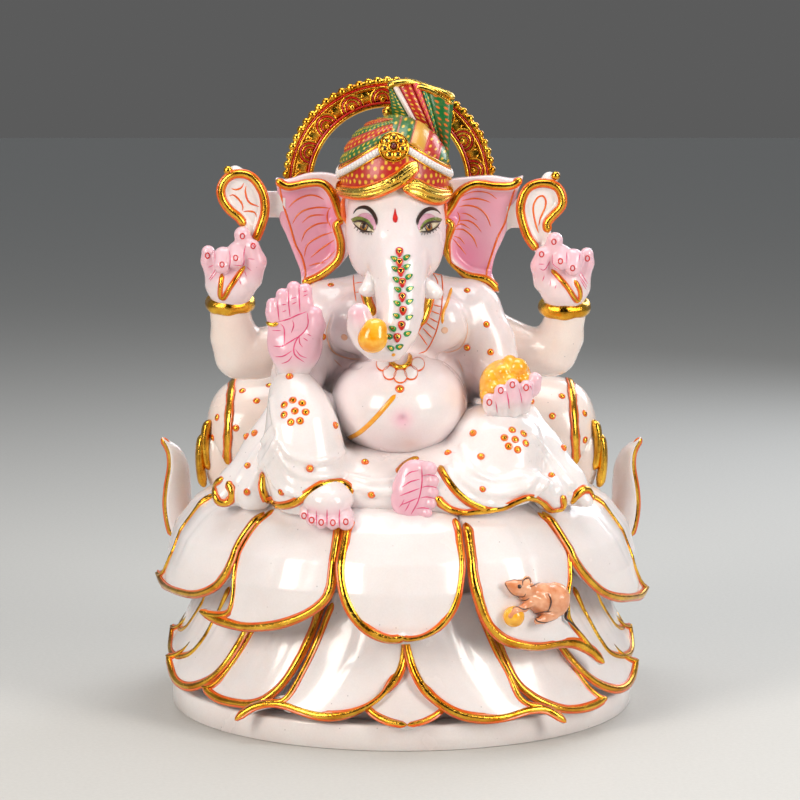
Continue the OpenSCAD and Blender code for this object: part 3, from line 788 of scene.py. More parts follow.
def headField(p):
    skull = meld(14, ball(p, (-4.2, -40, 364), (34.6, 37.5, 38)), ball(p, (-4.2, -50, 344), (34, 34, 25)))
    skull = meld(10, skull, ball(p, (-22, -62, 333), (13.5, 15, 15)),
                 ball(p, (13.5, -62, 333), (13.5, 15, 15)))
    root = chain(p, 12, (-4, -52, 368, 21), (-4, -70, 345, 18), (-2, -84, 327, 18.5))
    skull = meld(13, skull, root)
    trunk = chain(p, 5, (-2, -84, 327, 18.5), (-1, -95, 311, 16.6), (-1, -102, 298, 15.3),
                  (-3, -107, 286, 13.6),
                  (-9, -111, 277.5, 12.6), (-17, -114, 277.5, 11.2), (-24, -117, 282, 9.6),
                  (-28, -119, 289, 8.6), (-29.4, -120, 298, 8.0))
    return meld(8, skull, trunk)


def tuskField(p):
    left = meld(2, limb(p, (-20.5, -78, 325, 3.2), (-23.2, -93, 313.2, 5.6)),
                ball(p, (-24, -93.5, 311.8), (6.2, 5.6, 3.6)))
    right = chain(p, 3, (11, -82, 318, 6.4), (20, -92, 312.5, 6.0), (24.5, -96, 310.6, 4.6))
    return np.minimum(left, right)


def sweetField(p):
    return meld(5, ball(p, (-20, -127, 282), (10.4, 9.5, 10.2)), ball(p, (-18, -126, 290), (7.5, 7, 6)))


def kneeField(p):
    # the raised leg under its cloth
    leg = chain(p, 12, (-46, -30, 200, 31), (-64, -70, 215, 22), (-74, -91, 235, 16.5))
    shin = chain(p, 9, (-77, -91, 242, 14.4), (-73.5, -96, 231, 18.6), (-70, -102, 216, 23.6),
                 (-69, -105, 198, 27.4),
                 (-66, -111, 178, 27))
    return meld(8, leg, shin, ball(p, (-96, -106, 194), (4.4, 5, 6.5)))


def foldedField(p):
    # the folded leg under its cloth
    thigh = meld(18, limb(p, (44, -24, 194, 30), (64, -62, 196, 29)), ball(p, (67, -80, 197), (35.5, 33, 30)))
    shin = chain(p, 14, (72, -92, 184, 24), (44, -112, 175, 18), (24, -122, 172, 14))
    return meld(14, thigh, shin)


def lapField(p):
    lap = meld(12, ball(p, (-3, -58, 172), (98, 76, 29)), ball(p, (30, -70, 190), (22, 40, 14)),
               ball(p, (-34, -70, 186), (20, 40, 14)))
    hips = ball(p, (-3, 0, 182), (104, 46, 36))
    return meld(20, lap, hips)


def tailField(p):
    # the shawl's two ends, lying down the sides over the seat
    left = meld(12, limb(p, (-86, -62, 218, 13), (-118, -86, 172, 10)),
                limb(p, (-92, -76, 198, 15), (-104, -100, 168, 13)),
                limb(p, (-96, -60, 192, 15), (-110, -74, 170, 14)),
                limb(p, (-120, -86, 172, 9), (-127, -92, 164, 6)))
    right = meld(12, limb(p, (88, -56, 214, 13), (118, -82, 174, 10)),
                 limb(p, (98, -74, 192, 15), (106, -98, 168, 13)),
                 limb(p, (100, -56, 190, 15), (112, -72, 170, 14)),
                 limb(p, (120, -84, 174, 9), (130, -92, 162, 6)))
    return np.minimum(left, right)


def clothField(p):
    # everything the figure sits on and wears below the belly, cut flat where it meets the seat
    cloth = meld(9, lapField(p), kneeField(p), foldedField(p))
    cloth = meld(6, cloth, tailField(p))
    skirt = chain(p, 6, (26, -124, 176, 8), (40, -126, 168, 8), (58, -124, 168, 9), (72, -122, 171, 9),
                  (84, -120, 176, 9),
                  (94, -114, 176, 8), (104, -108, 168, 7))
    cloth = meld(9, cloth, skirt)
    return np.maximum(cloth, 158.5 - p[:, 2] + 0.0 * p[:, 0])


def raisedFootField(p):
    foot = meld(8, ball(p, (-52, -126, 170), (19, 20, 12)),
                limb(p, (-56, -112, 180, 15), (-50, -136, 164, 10)))
    toes = [limb(p, (x, -134, z + 3, r), (x, -147 + bend, z, r)) for x, z, r, bend in
            ((-38.6, 156.5, 5.6, 0), (-47.4, 156, 4.7, 0), (-55.4, 156.2, 4.4, 1), (-62, 157.6, 4.0, 3),
             (-67.4, 160.6, 3.4, 6))]
    return meld(1.6, foot, *toes)


def soleField(p):
    # the folded leg's foot, sole outwards, toes to the right
    sole = meld(7, ball(p, (9, -131, 176), (14.5, 9, 22)), ball(p, (4, -130, 170), (11, 9, 13)))
    toes = [limb(p, (x - 5, -132, z, r), (x, -136, z, r)) for x, z, r in
            ((19.5, 192, 5.2), (21.8, 183.5, 4.4), (21.8, 175.6, 4.2), (20.6, 168, 4.0), (17.6, 161.2, 3.8))]
    return meld(1.8, sole, *toes)


def palmField(p):
    hand = meld(8, ball(p, (-76.5, -93, 277), (18, 8.5, 19)), ball(p, (-65, -95, 272), (8.5, 8, 13)),
                limb(p, (-76, -88, 258, 12.5), (-76.5, -91, 268, 13.5)))
    fingers = [chain(p, 2, a, b, c) for a, b, c in (
        ((-87.5, -94, 284, 6.2), (-89.8, -96, 297, 5.4), (-90.2, -96, 302.6, 4.6)),
        ((-81.6, -95, 288, 6.3), (-83, -97.5, 302, 5.6), (-83.2, -98, 309.4, 4.8)),
        ((-75, -95, 289, 6.4), (-75.4, -98.5, 305, 5.8), (-75.4, -99, 314.4, 4.9)),
        ((-68.4, -95, 288, 6.2), (-67.8, -98, 303, 5.7), (-67.4, -98, 312.8, 4.8)))]
    thumb = chain(p, 3, (-64, -95, 276, 7), (-59.6, -98.5, 288, 6), (-60.2, -99.5, 296.4, 4.8))
    return meld(2.2, meld(3.5, hand, thumb), *fingers)


def cupHandField(p):
    hand = meld(7, ball(p, (74, -84, 232), (15, 13, 10)), limb(p, (72, -64, 238, 13), (74, -80, 233, 12)))
    fingers = [chain(p, 2, a, b, c) for a, b, c in (
        ((64, -90, 225, 5.2), (62.4, -97, 231, 5), (61.8, -99, 235.5, 4.6)),
        ((71, -92, 226, 5.4), (70.2, -100, 235, 5.2), (69.8, -101, 242, 4.8)),
        ((79, -92, 227, 5.4), (78.6, -100, 237, 5.2), (78, -101, 246, 4.9)),
        ((86, -90, 229, 5.2), (87, -97, 237, 5), (87.6, -98, 244.6, 4.8)))]
    thumb = chain(p, 3, (86, -84, 236, 6.4), (92, -90, 243, 5.6), (94, -91, 249, 5))
    return meld(2.2, meld(3, hand, thumb), *fingers)


def rearArmField(p):
    left = chain(p, 5, (-50, 6, 282, 20), (-84, 0, 262, 18.5), (-106, -6, 257, 17.6), (-118, -8, 257.5, 18),
                 (-122.4, -12, 271, 16.2), (-124.6, -16, 287, 13.6), (-124, -20, 304, 13.0))
    right = chain(p, 5, (44, 6, 282, 20), (80, 0, 262, 18), (97, -6, 258, 17), (110, -9, 260, 17.8),
                  (116.4, -13, 271, 15.6), (119.2, -17, 287, 13.6), (118, -20, 303, 13.2))
    return np.minimum(left, right)


def rearHandField(p, k):
    if k == 0:
        palm = meld(8, ball(p, (-123.5, -24, 311), (18.4, 12.5, 13.5)),
                    limb(p, (-124, -20, 300, 13.4), (-123.5, -23, 308, 15)))
        parts = [((-136, -26, 317, 6.4), (-139.2, -27, 327, 5.4), (-139.6, -28, 333.6, 4.9)),
                 ((-129, -28, 322, 7), (-128.6, -33, 331, 6.2), (-129.3, -38, 324.5, 5.7)),
                 ((-119, -28, 324, 7.4), (-118.4, -33, 334.6, 6.4), (-119.4, -39, 328.6, 5.9)),
                 ((-111, -28, 324, 7), (-112.6, -31, 338, 6.6), (-114.6, -34, 346.6, 6.0)),
                 ((-108.6, -26, 314, 8), (-104.6, -32, 327, 6.8), (-107.4, -35, 338, 5.4))]
    else:
        palm = meld(8, ball(p, (118, -24, 309), (18.4, 12.5, 13)),
                    limb(p, (118, -20, 299, 13.6), (118, -23, 307, 15)))
        parts = [((130.6, -26, 315, 6.4), (133.4, -27, 325.6, 5.4), (133.8, -28, 332, 4.9)),
                 ((123.4, -28, 320, 7), (124.2, -33, 329.6, 6.2), (123.4, -38, 323, 5.7)),
                 ((114.6, -28, 322, 7.2), (115.4, -33, 332.4, 6.3), (114.4, -39, 327, 5.8)),
                 ((107, -28, 322, 7), (108.6, -31, 334, 6.4), (110.4, -34, 342.6, 5.9)),
                 ((103.4, -26, 312, 8), (100.4, -32, 324, 6.8), (101.6, -35, 332.6, 5.4))]
    return meld(2.2, palm, *[chain(p, 3, *f) for f in parts])


def bothHands(p):
    return np.minimum(rearHandField(p, 0), rearHandField(p, 1))


def frontBlush(verts, spots):
    # brushed colour that fades out: spots are (x, z, radius, strength)
    t = np.zeros(len(verts))
    for x, z, r, k in spots:
        t = np.maximum(t, k * np.exp(-((verts[:, 0] - x) ** 2 + (verts[:, 2] - z) ** 2) / r ** 2))
    return np.clip(t, 0, 1)


# torso with the front arms, and the creases under the breasts and round the belly
verts, faces, normals = carve(torsoField, (-100, -126, 180), (96, 40, 322), 1.7)
for points, depth, width in (
        ([(-50, 292), (-53, 280), (-48, 267), (-36, 262), (-22, 262)], 1.6, 2.2),
        ([(44, 294), (48, 282), (43, 268), (32, 263), (20, 264)], 1.6, 2.2),
        ([(-47, 262), (-40, 257), (-30, 256)], 1.0, 1.8),
        ([(38, 262), (42, 254), (44, 246)], 1.0, 1.8)):
    line = lay(torsoField, smoothLine(points, 16), -80)[0]
    verts = press(verts, normals, line, depth, width)
verts = press(verts, normals, lay(torsoField, [(0.5, 224), (0.6, 224.5)], -120)[0], 3.2, 3.0)
tint = frontBlush(verts, [(0.5, 224, 7, 0.45)]) * (verts[:, 1] < -60)
addPiece("torsoAndArms", (verts, faces), marblePink,
         ["torso", "front_arm_left", "front_arm_right"], tint)
print("torso carved", len(verts))

verts, faces, normals = carve(headField, (-42, -132, 258), (34, 2, 398), 1.25)
for points, depth, width in (([(-26, 357), (-25, 357)], 1.8, 7.5), ([(18, 357), (19, 357)], 1.8, 7.5)):
    verts = press(verts, normals, lay(headField, points, -80)[0], depth, width)
tint = frontBlush(verts, [(-29.4, 299, 8, 0.4)]) * (verts[:, 1] < -100)
addPiece("headAndTrunk", (verts, faces), marblePink, ["head", "trunk"], tint)
verts, faces, normals = carve(tuskField, (-36, -106, 302), (34, -70, 332), 0.8)
addPiece("tusks", (verts, faces), marble, ["tusks"])
print("head carved")

verts, faces, normals = carve(clothField, (-142, -150, 155), (142, 52, 262), 1.8)
# folds of the dhoti, soft ridges with a groove beside them
folds = [
    ([(-86, 220), (-84, 209), (-77, 200), (-62, 196), (-48, 198), (-40, 203)], -128),
    ([(-88, 208), (-81, 195), (-72, 188), (-57, 185.5), (-39, 188)], -132),
    ([(-91, 238), (-90, 226), (-87, 214), (-90, 202)], -115),
    ([(-94, 192), (-88, 180), (-74, 173), (-60, 172)], -132),
    ([(36, 200), (40, 186), (52, 176), (68, 172), (86, 176), (96, 188)], -125),
    ([(32, 192), (38, 178), (52, 168), (70, 165), (90, 169), (102, 182)], -128),
    ([(42, 206), (46, 194), (56, 185), (70, 182), (84, 185)], -122),
    ([(-34, 186), (-18, 182), (0, 184)], -128), ([(-32, 178), (-16, 174), (0, 176)], -130),
    ([(-92, 214), (-104, 196), (-117, 176)], -90), ([(-88, 206), (-99, 188), (-108, 170)], -95),
    ([(94, 208), (108, 190), (121, 174)], -90), ([(98, 198), (106, 184), (112, 170)], -95)]
for points, plane in folds:
    line, up = lay(clothField, smoothLine(points, 18), plane)
    verts = press(verts, normals, line, -1.6, 2.4)
    verts = press(verts, normals, line - [0, 0, 3.6], 1.1, 2.2)
addPiece("dhotiCloth", (verts, faces), marblePetal,
         ["hip_drape", "raised_leg", "folded_leg", "side_drapes"])
print("cloth carved", len(verts))

handPink = polishedMarble("pinkHandMarble", "F3EBEA", "EDDDE0", 2.4, "EE93B4")
verts, faces, normals = carve(raisedFootField, (-74, -154, 146), (-28, -94, 198), 0.9)
addPiece("raisedFoot", (verts, faces), handPink, ["raised_leg_foot"],
         0.35 * smoothstep(172, 158, verts[:, 2]))
verts, faces, normals = carve(soleField, (-12, -144, 150), (30, -118, 202), 0.9)
addPiece("foldedFoot", (verts, faces), handPink, ["folded_leg_foot"],
         0.5 + 0.2 * frontBlush(verts, [(5, 166, 9, 1)]))
verts, faces, normals = carve(palmField, (-98, -110, 244), (-50, -74, 322), 0.95)
addPiece("openPalm", (verts, faces), handPink, ["open_palm"],
         0.56 * smoothstep(252, 268, verts[:, 2]) * smoothstep(-84, -92, verts[:, 1]))
verts, faces, normals = carve(cupHandField, (52, -112, 214), (104, -46, 262), 0.95)
addPiece("cuppedHand", (verts, faces), handPink, ["cupped_hand"],
         0.42 * smoothstep(226, 240, verts[:, 2]))
for k, word in enumerate(("Left", "Right")):
    low = (-148, -48, 292) if k == 0 else (92, -48, 292)
    verts, faces, normals = carve(lambda p: rearHandField(p, k), low, (low[0] + 54, -6, 356), 0.95)
    addPiece("rearHand" + word, (verts, faces), handPink, ["rear_hand_" + word.lower()],
             0.36 * smoothstep(306, 322, verts[:, 2]) * smoothstep(-22, -32, verts[:, 1]) + 0.08)
verts, faces, normals = carve(rearArmField, (-146, -40, 238), (142, 32, 322), 1.7)
# the rear arms take the warmer marble copy, painted shade
addPiece("rearArms", (verts, faces), marbleWarmShade, ["rear_arm_left", "rear_arm_right"])
print("hands, feet and rear arms carved")


# Flat carved plates: ears, emblems.

def outlineOf(*runs):
    # several smooth runs joined into one closed line, keeping the corners between them
    return np.vstack([smoothLine(run, 30)[:-1] for run in runs])


def flatField(outline, gap=0.5, margin=16.0):
    # Signed distance to a closed line drawn on an upright plane, less than 0 inside, kept as a fine table.
    a = np.asarray(outline, float)
    b = np.roll(a, -1, 0)
    low, high = a.min(0) - margin, a.max(0) + margin
    xs, zs = np.arange(low[0], high[0], gap), np.arange(low[1], high[1], gap)
    gx, gz = np.meshgrid(xs, zs, indexing="ij")
    best = np.full(gx.shape, 1e9)
    inside = np.zeros(gx.shape, bool)
    for (x0, z0), (x1, z1) in zip(a, b):
        dx, dz = x1 - x0, z1 - z0
        h = np.clip(((gx - x0) * dx + (gz - z0) * dz) / max(dx * dx + dz * dz, 1e-9), 0, 1)
        best = np.minimum(best, (gx - x0 - h * dx) ** 2 + (gz - z0 - h * dz) ** 2)
        if z0 != z1:
            inside ^= ((gz >= min(z0, z1)) & (gz < max(z0, z1)) & (gx < x0 + (gz - z0) / dz * dx))
    table = np.where(inside, -1, 1) * np.sqrt(best)

    def read(x, z):
        u = np.clip((x - low[0]) / gap, 0, len(xs) - 1.001)
        v = np.clip((z - low[1]) / gap, 0, len(zs) - 1.001)
        i, j = u.astype(int), v.astype(int)
        f, g = u - i, v - j
        return ((table[i, j] * (1 - f) + table[i + 1, j] * f) * (1 - g)
                + (table[i, j + 1] * (1 - f) + table[i + 1, j + 1] * f) * g)
    return read


def slab(p, side, front, back, edge):
    # A plate: side is the distance to its outline, front and back its two faces, edge the rounding.
    y = np.maximum(front - p[:, 1], p[:, 1] - back)
    a, b = side + edge, y + edge
    return np.minimum(np.maximum(a, b), 0) + np.hypot(np.maximum(a, 0), np.maximum(b, 0)) - edge


earShape = {
    "Left": {
        "slab": ([(-91, 387), (-82, 386), (-66, 390.5), (-50, 390), (-36, 384)],
                 [(-36, 384), (-32, 366), (-33, 350), (-37, 334), (-45, 323)],
                 [(-45, 323), (-52, 317.5), (-62, 312), (-72.5, 308.5)],
                 [(-72.5, 308.5), (-73.5, 319), (-78, 331), (-83.5, 345), (-88.5, 357), (-89.8, 376),
                  (-91, 387)]),
        "bowl": ([(-97, 388), (-88, 382.5), (-82, 380), (-68.5, 382), (-57.5, 382), (-50, 374.5),
                  (-44, 358.5), (-42.5, 356)],
                 [(-42.5, 356), (-47.5, 352), (-45, 340), (-46, 330), (-52, 323), (-61, 316), (-70.5, 313),
                  (-80, 309)],
                 [(-80, 309), (-90, 330), (-100, 360), (-97, 388)]),
        "rimTop": [(-90.6, 385.6), (-82, 380.8), (-68.5, 383), (-57.5, 383), (-50, 375.5), (-44, 359.5),
                   (-41, 356.6)],
        "rimLow": [(-42, 356), (-47, 353), (-44, 340.5), (-45, 329.5), (-51, 322), (-61, 315), (-72, 310.6)],
        "edge": [(-88.4, 383), (-86.8, 374), (-85.6, 367), (-84, 363), (-80.5, 352), (-76.5, 338.5),
                 (-72, 329.5), (-69.5, 318.5), (-70.5, 313.5)],
        "veins": [[(-82, 365), (-76.5, 370.5), (-68.5, 374), (-62, 374), (-55.5, 371)],
                  [(-79, 353.5), (-75.5, 359.5), (-70, 363.5), (-61, 365.5), (-51.5, 365)],
                  [(-72, 354), (-67.5, 358.5), (-62, 360), (-54.5, 360)],
                  [(-72.5, 340.5), (-69, 348.5), (-61, 353.5), (-51.5, 354.5)],
                  [(-70.5, 329.5), (-68, 338.5), (-59, 344.5), (-49, 348)],
                  [(-66, 329), (-59, 335), (-48, 342.5)], [(-59, 325), (-52.5, 329.5), (-47.5, 335)],
                  [(-67.5, 323), (-61, 325), (-54.5, 325.5)],
                  [(-50.5, 366), (-53, 363), (-53.8, 357.5), (-51.5, 352), (-50.5, 349.5)]],
        "pink": [(-50, 358, 12, 0.75), (-80, 376, 26, 0.42), (-60, 330, 30, 0.46), (-66, 352, 26, 0.4),
                 (-50, 335, 12, 0.6)]},
    "Right": {
        "slab": ([(88, 388.5), (80, 386.5), (66, 388.5), (52, 388), (32, 386)],
                 [(32, 386), (27, 366), (27, 350), (30, 334), (37, 324)],
                 [(37, 324), (47, 314), (60, 309.5), (71, 303)],
                 [(71, 303), (68, 312), (65.6, 318), (68, 330), (73, 341), (77.5, 352), (81, 364),
                  (84, 376), (88, 388.5)]),
        "bowl": ([(96, 388), (85, 381.5), (80, 380), (68, 380), (53.5, 381.5), (42.5, 376), (36, 366),
                  (30.5, 359.5)],
                 [(30.5, 359.5), (30.5, 357), (36.5, 352), (33.5, 340.5), (34.5, 330), (39, 324), (48, 317),
                  (61, 314), (69, 308), (78, 302)],
                 [(78, 302), (90, 330), (100, 360), (96, 388)]),
        "rimTop": [(86.4, 387), (80, 381.6), (68, 381), (53.5, 382.5), (42.5, 377), (36, 367),
                   (31.5, 360.5), (29, 357.5)],
        "rimLow": [(30, 357.4), (36, 353), (32.5, 340.5), (33.5, 329.5), (38, 323), (48, 316), (61.5, 313),
                   (70.5, 305.5)],
        "edge": [(82, 379), (80.5, 375), (77, 363), (74.5, 354), (69.5, 344), (65.5, 332), (62, 320.5),
                 (61.6, 315)],
        "veins": [[(39.5, 369.5), (46, 375), (53.5, 377), (62.5, 376), (69, 371.5)],
                  [(43.5, 370.5), (52.5, 372), (59, 371), (64.5, 369)],
                  [(41, 366), (48, 367), (55.5, 365), (61.5, 359.5), (64.5, 351.5)],
                  [(42.5, 361.5), (48, 360.5), (55, 356)], [(41.5, 356), (48, 356), (53.5, 353), (58, 347.5)],
                  [(38, 351.5), (43.5, 353.5), (50.5, 349.5)],
                  [(37.5, 349.5), (44.5, 349.5), (51.5, 344), (55, 336)],
                  [(37.5, 345), (42.5, 343), (46, 338.5)], [(36.5, 343.5), (41.5, 338), (47, 331)],
                  [(40, 363), (42, 358.5), (40.5, 353), (37, 349.5)]],
        "pink": [(37, 358, 13, 0.75), (45, 330, 22, 0.66), (66, 366, 26, 0.3), (50, 350, 24, 0.34),
                 (62, 318, 16, 0.6), (46, 374, 16, 0.42)]},
}


def beadPair(field, runs, plane, width, height, under):
    # a raised gold bead with the painted line showing on both sides of it
    beads = join([brushLine(field, run, plane, width, height) for run in runs])
    lines = join([brushLine(field, run, plane, under, 0.45) for run in runs])
    return beads, lines


for word, ear in earShape.items():
    sideField, bowlField = flatField(outlineOf(*ear["slab"])), flatField(outlineOf(*ear["bowl"]))

    def earField(p):
        # the front dips into a bowl inside the gilt line, and the whole ear leans back from the head
        x, z = p[:, 0], p[:, 2]
        dip = 5.0 * smoothstep(0.5, -7.0, bowlField(x, z)) - 1.6 * np.exp(-(bowlField(x, z) / 3.0) ** 2)
        lean = 0.05 * (np.abs(x + 4) - 60)
        return slab(p, sideField(x, z), -27 + dip + lean, -14.5 + lean, 2.6)

    box = np.array(outlineOf(*ear["slab"]))
    low, high = box.min(0) - 3, box.max(0) + 3
    verts, faces, normals = carve(earField, (low[0], -34, low[1]), (high[0], -8, high[1]), 1.0)
    inBowl = smoothstep(-1.0, -4.0, bowlField(verts[:, 0], verts[:, 2])) * (verts[:, 1] < -17)
    tint = np.clip(0.5 * inBowl + 0.7 * inBowl * frontBlush(verts, ear["pink"]), 0, 0.95)
    tint = np.maximum(tint, 0.16 * (verts[:, 1] < -17))
    addPiece("ear" + word, (verts, faces), handPink, ["ear_" + word.lower()], tint)
    beads, lines = beadPair(earField, [ear["rimTop"], ear["rimLow"]], -24, 4.4, 1.7, 6.6)
    addPiece("ear%sGilt" % word, beads, gold)
    addPiece("ear%sGiltLine" % word, lines, orangePaint)
    strokes = [brushLine(earField, v, -24, 1.25, 0.3, taper=8) for v in ear["veins"]]
    strokes.append(brushLine(earField, ear["edge"], -24, 1.5, 0.35, taper=2))
    addPiece("ear%sVeins" % word, join(strokes), orangePaint)
print("ears ready")

emblemShape = {
    "Left": {"loop": ([(-106, 341), (-101.5, 352), (-98.5, 363), (-99.5, 375), (-105, 385), (-111.5, 389.5),
                       (-119.5, 390),
                       (-126, 386.5), (-130, 379.5), (-129, 371.5), (-124, 364), (-117.5, 358.5),
                       (-113, 352.5)],
                      [(-113, 352.5), (-112, 342), (-109, 336), (-106, 341)]),
             "marks": [[(-123, 379.5), (-119.5, 378.5), (-115.5, 380), (-113.5, 383.5)],
                       [(-124.5, 374), (-121, 374.5), (-116.5, 370.5), (-114.5, 366.5), (-115, 363)],
                       [(-112, 381.5), (-112.5, 376.5), (-110, 369.5), (-102.5, 366)],
                       [(-114.5, 362.5), (-110.5, 363), (-106, 362), (-104.5, 358.5)]],
             "knob": ((-120, -22, 390.5), (-125, -26, 392.4))},
    "Right": {"loop": ([(98, 335), (91, 345), (86.5, 358.5), (86, 368.5), (90, 378.5), (97.5, 383),
                        (106.5, 383),
                        (113, 379.5), (116, 372.5), (115, 366), (109, 359.5), (105, 354), (106, 347.5)],
                       [(106, 347.5), (107, 340), (102, 333), (98, 335)]),
              "marks": [[(99, 347), (96.5, 355.5), (95, 365.5), (97.5, 372), (101.5, 374), (104, 371),
                         (103.5, 365.5),
                         (100.5, 358.5), (99, 352)]],
              "knob": ((107, -22, 386), (111, -26, 388.4))},
}
strutShape = {"Left": (-102, -84, 367.5, 9.6), "Right": (76, 91, 361.0, 10.6)}


def round3(centre, radius):
    spot = np.asarray(centre, float)
    return lathe([(max(radius * math.sin(t), 0.02), -radius * math.cos(t))
                  for t in np.linspace(0.06, math.pi - 0.06, 13)],
                 24, spot)


for word, emblem in emblemShape.items():
    loopField = flatField(outlineOf(*emblem["loop"]))

    def emblemField(p):
        d = loopField(p[:, 0], p[:, 2])
        front = -28.5 + 2.4 * smoothstep(-1.5, -6, d)
        plate = slab(p, d - 2.2, front, -17, 2.4)
        return meld(3, plate, ball(p, emblem["knob"][0], (5.6, 5.0, 5.2)))

    box = outlineOf(*emblem["loop"])
    low, high = box.min(0) - 5, box.max(0) + 7
    verts, faces, normals = carve(emblemField, (low[0], -33, low[1]), (high[0], -13, high[1] + 2), 0.9)
    addPiece("emblem" + word, (verts, faces), marble, ["emblem_" + word.lower()])
    beads, lines = beadPair(emblemField, [emblem["loop"][0]], -28, 4.6, 1.9, 6.8)
    addPiece("emblem%sGilt" % word, join([beads, round3(emblem["knob"][1], 3.3)]), gold)
    addPiece("emblem%sGiltLine" % word, lines, orangePaint)
    addPiece("emblem%sMarks" % word, join([brushLine(emblemField, m, -26, 1.4, 0.35, taper=6)
            for m in emblem["marks"]]),
             orangePaint)

struts = []
for word, (x0, x1, z, half) in strutShape.items():
    # a short bar of stone left between the ear and the emblem, waisted like a saddle
    k = np.linspace(0, 1, 26)
    waist = half + 3.2 * (2 * k - 1) ** 4
    path = np.stack([x0 + (x1 - x0) * k, np.full(26, -18.0), np.full(26, float(z))], 1)
    struts.append(tube(path, (0, 0, 1), 6.5, 2 * waist, 28))
addPiece("earStruts", join(struts), marble, ["ear_struts"])
print("emblems and struts ready")

# Halo: a gilt ring with a beaded edge and a row of scrolls on red enamel.

haloShape = {"centre": (-9.0, 380.5), "front": 5.0, "outer": 74.6, "inner": 57.6, "reach": 136.0,
             "pitch": 21.3, "first": 94.4}
cx, cz = haloShape["centre"]


def ringPath(radius, y, reach=haloShape["reach"], count=260):
    a = np.radians(90 + np.linspace(-reach, reach, count))
    return np.stack([cx + radius * np.cos(a), np.full(count, float(y)), cz + radius * np.sin(a)], 1)


def ringBar(radius, y, wide, deep, sides=12, reach=haloShape["reach"]):
    return tube(ringPath(radius, y, reach), (0, -1, 0), wide, deep, sides)


def polar(centreAngle, radius, localAngle, size):
    # a point on a small circle standing on the ring, in the ring's own outward direction
    a = math.radians(centreAngle)
    out, side = np.array([math.cos(a), math.sin(a)]), np.array([-math.sin(a), math.cos(a)])
    t = np.radians(localAngle)
    return np.array([cx, cz]) + out * radius + size * (np.cos(t)[:, None] * out + np.sin(t)[:, None] * side)


f = haloShape["front"]
plateRing = tube(ringPath(66.4, f + 5.2), (0, -1, 0), 17.6, 9.4, 8)
rails = [ringBar(haloShape["outer"], f + 3.6, 5.0, 7.6), ringBar(haloShape["inner"], f + 3.2, 3.4, 7.0),
         ringBar(70.8, f + 0.7, 1.7, 2.4)]
beadAngles = np.arange(-134, 134.1, 5.2)
for a in beadAngles:
    t = math.radians(90 + a)
    rails.append(round3((cx + 75.4 * math.cos(t), f + 2.2, cz + 75.4 * math.sin(t)), 3.2))
scrolls, enamel = [], []
for k in range(-6, 7):
    mid = haloShape["first"] - haloShape["pitch"] * k
    if abs(mid - 90) > 132:
        continue
    for size, wide, height, out in ((8.6, 2.0, 3.4, scrolls), (7.0, 1.3, 2.2, enamel),
            (5.5, 1.9, 3.2, scrolls), (4.0, 1.1, 2.0, enamel)):
        t = np.linspace(-112, 112, 34)
        flat = polar(mid, 62.2, t, size)
        path = np.stack([flat[:, 0], np.full(34, f + 0.6), flat[:, 1]], 1)
        out.append(tube(path, (0, -1, 0), wide, height, 8, taper=3))
    flat = polar(mid, 61.6, np.array([0.0]), 0.4)[0]
    scrolls.append(round3((flat[0], f + 0.5, flat[1]), 2.3))
    for half in (-1, 1):
        # a small leaf leans on each scroll under the outer rail
        a = np.array([polar(mid + half * 7.6, 64.6, np.array([0.0]), 0.0)[0],
                      polar(mid + half * 9.0, 68.6, np.array([0.0]), 0.0)[0]])
        flat = smoothLine([a[0], (a[0] + a[1]) / 2 + [0.3, 0.2], a[1]], 9)
        scrolls.append(tube(np.stack([flat[:, 0], np.full(9, f + 0.7), flat[:, 1]], 1), (0, -1, 0), 2.0,
                            2.4, 8, taper=3))
enamel += [ringBar(59.6, f + 0.6, 1.5, 1.8), ringBar(72.2, f + 0.8, 1.0, 1.8)]
addPiece("haloRing", join([plateRing] + rails), gold, ["halo_arch"])
addPiece("haloScrolls", join(scrolls), gold)
addPiece("haloEnamel", join(enamel), redPaint)
print("halo ready")

# Bolster, carved from the same block behind the figure.

bolsterShape = {"axis": (48.0, 192.5), "half": 147.0, "radius": 44.0}


def bolsterRadius(x):
    # full in the middle, rounding in towards the two ends
    t = np.clip(np.abs(x) / bolsterShape["half"], 0, 1)
    return bolsterShape["radius"] * (1 - t ** 11) ** 0.5 * (1 - 0.04 * t)


def bolsterField(p):
    # the distance to a turned body, shortened where its side slopes
    r = np.hypot(p[:, 1] - bolsterShape["axis"][0], p[:, 2] - bolsterShape["axis"][1])
    return (r - bolsterRadius(p[:, 0])) * 0.7


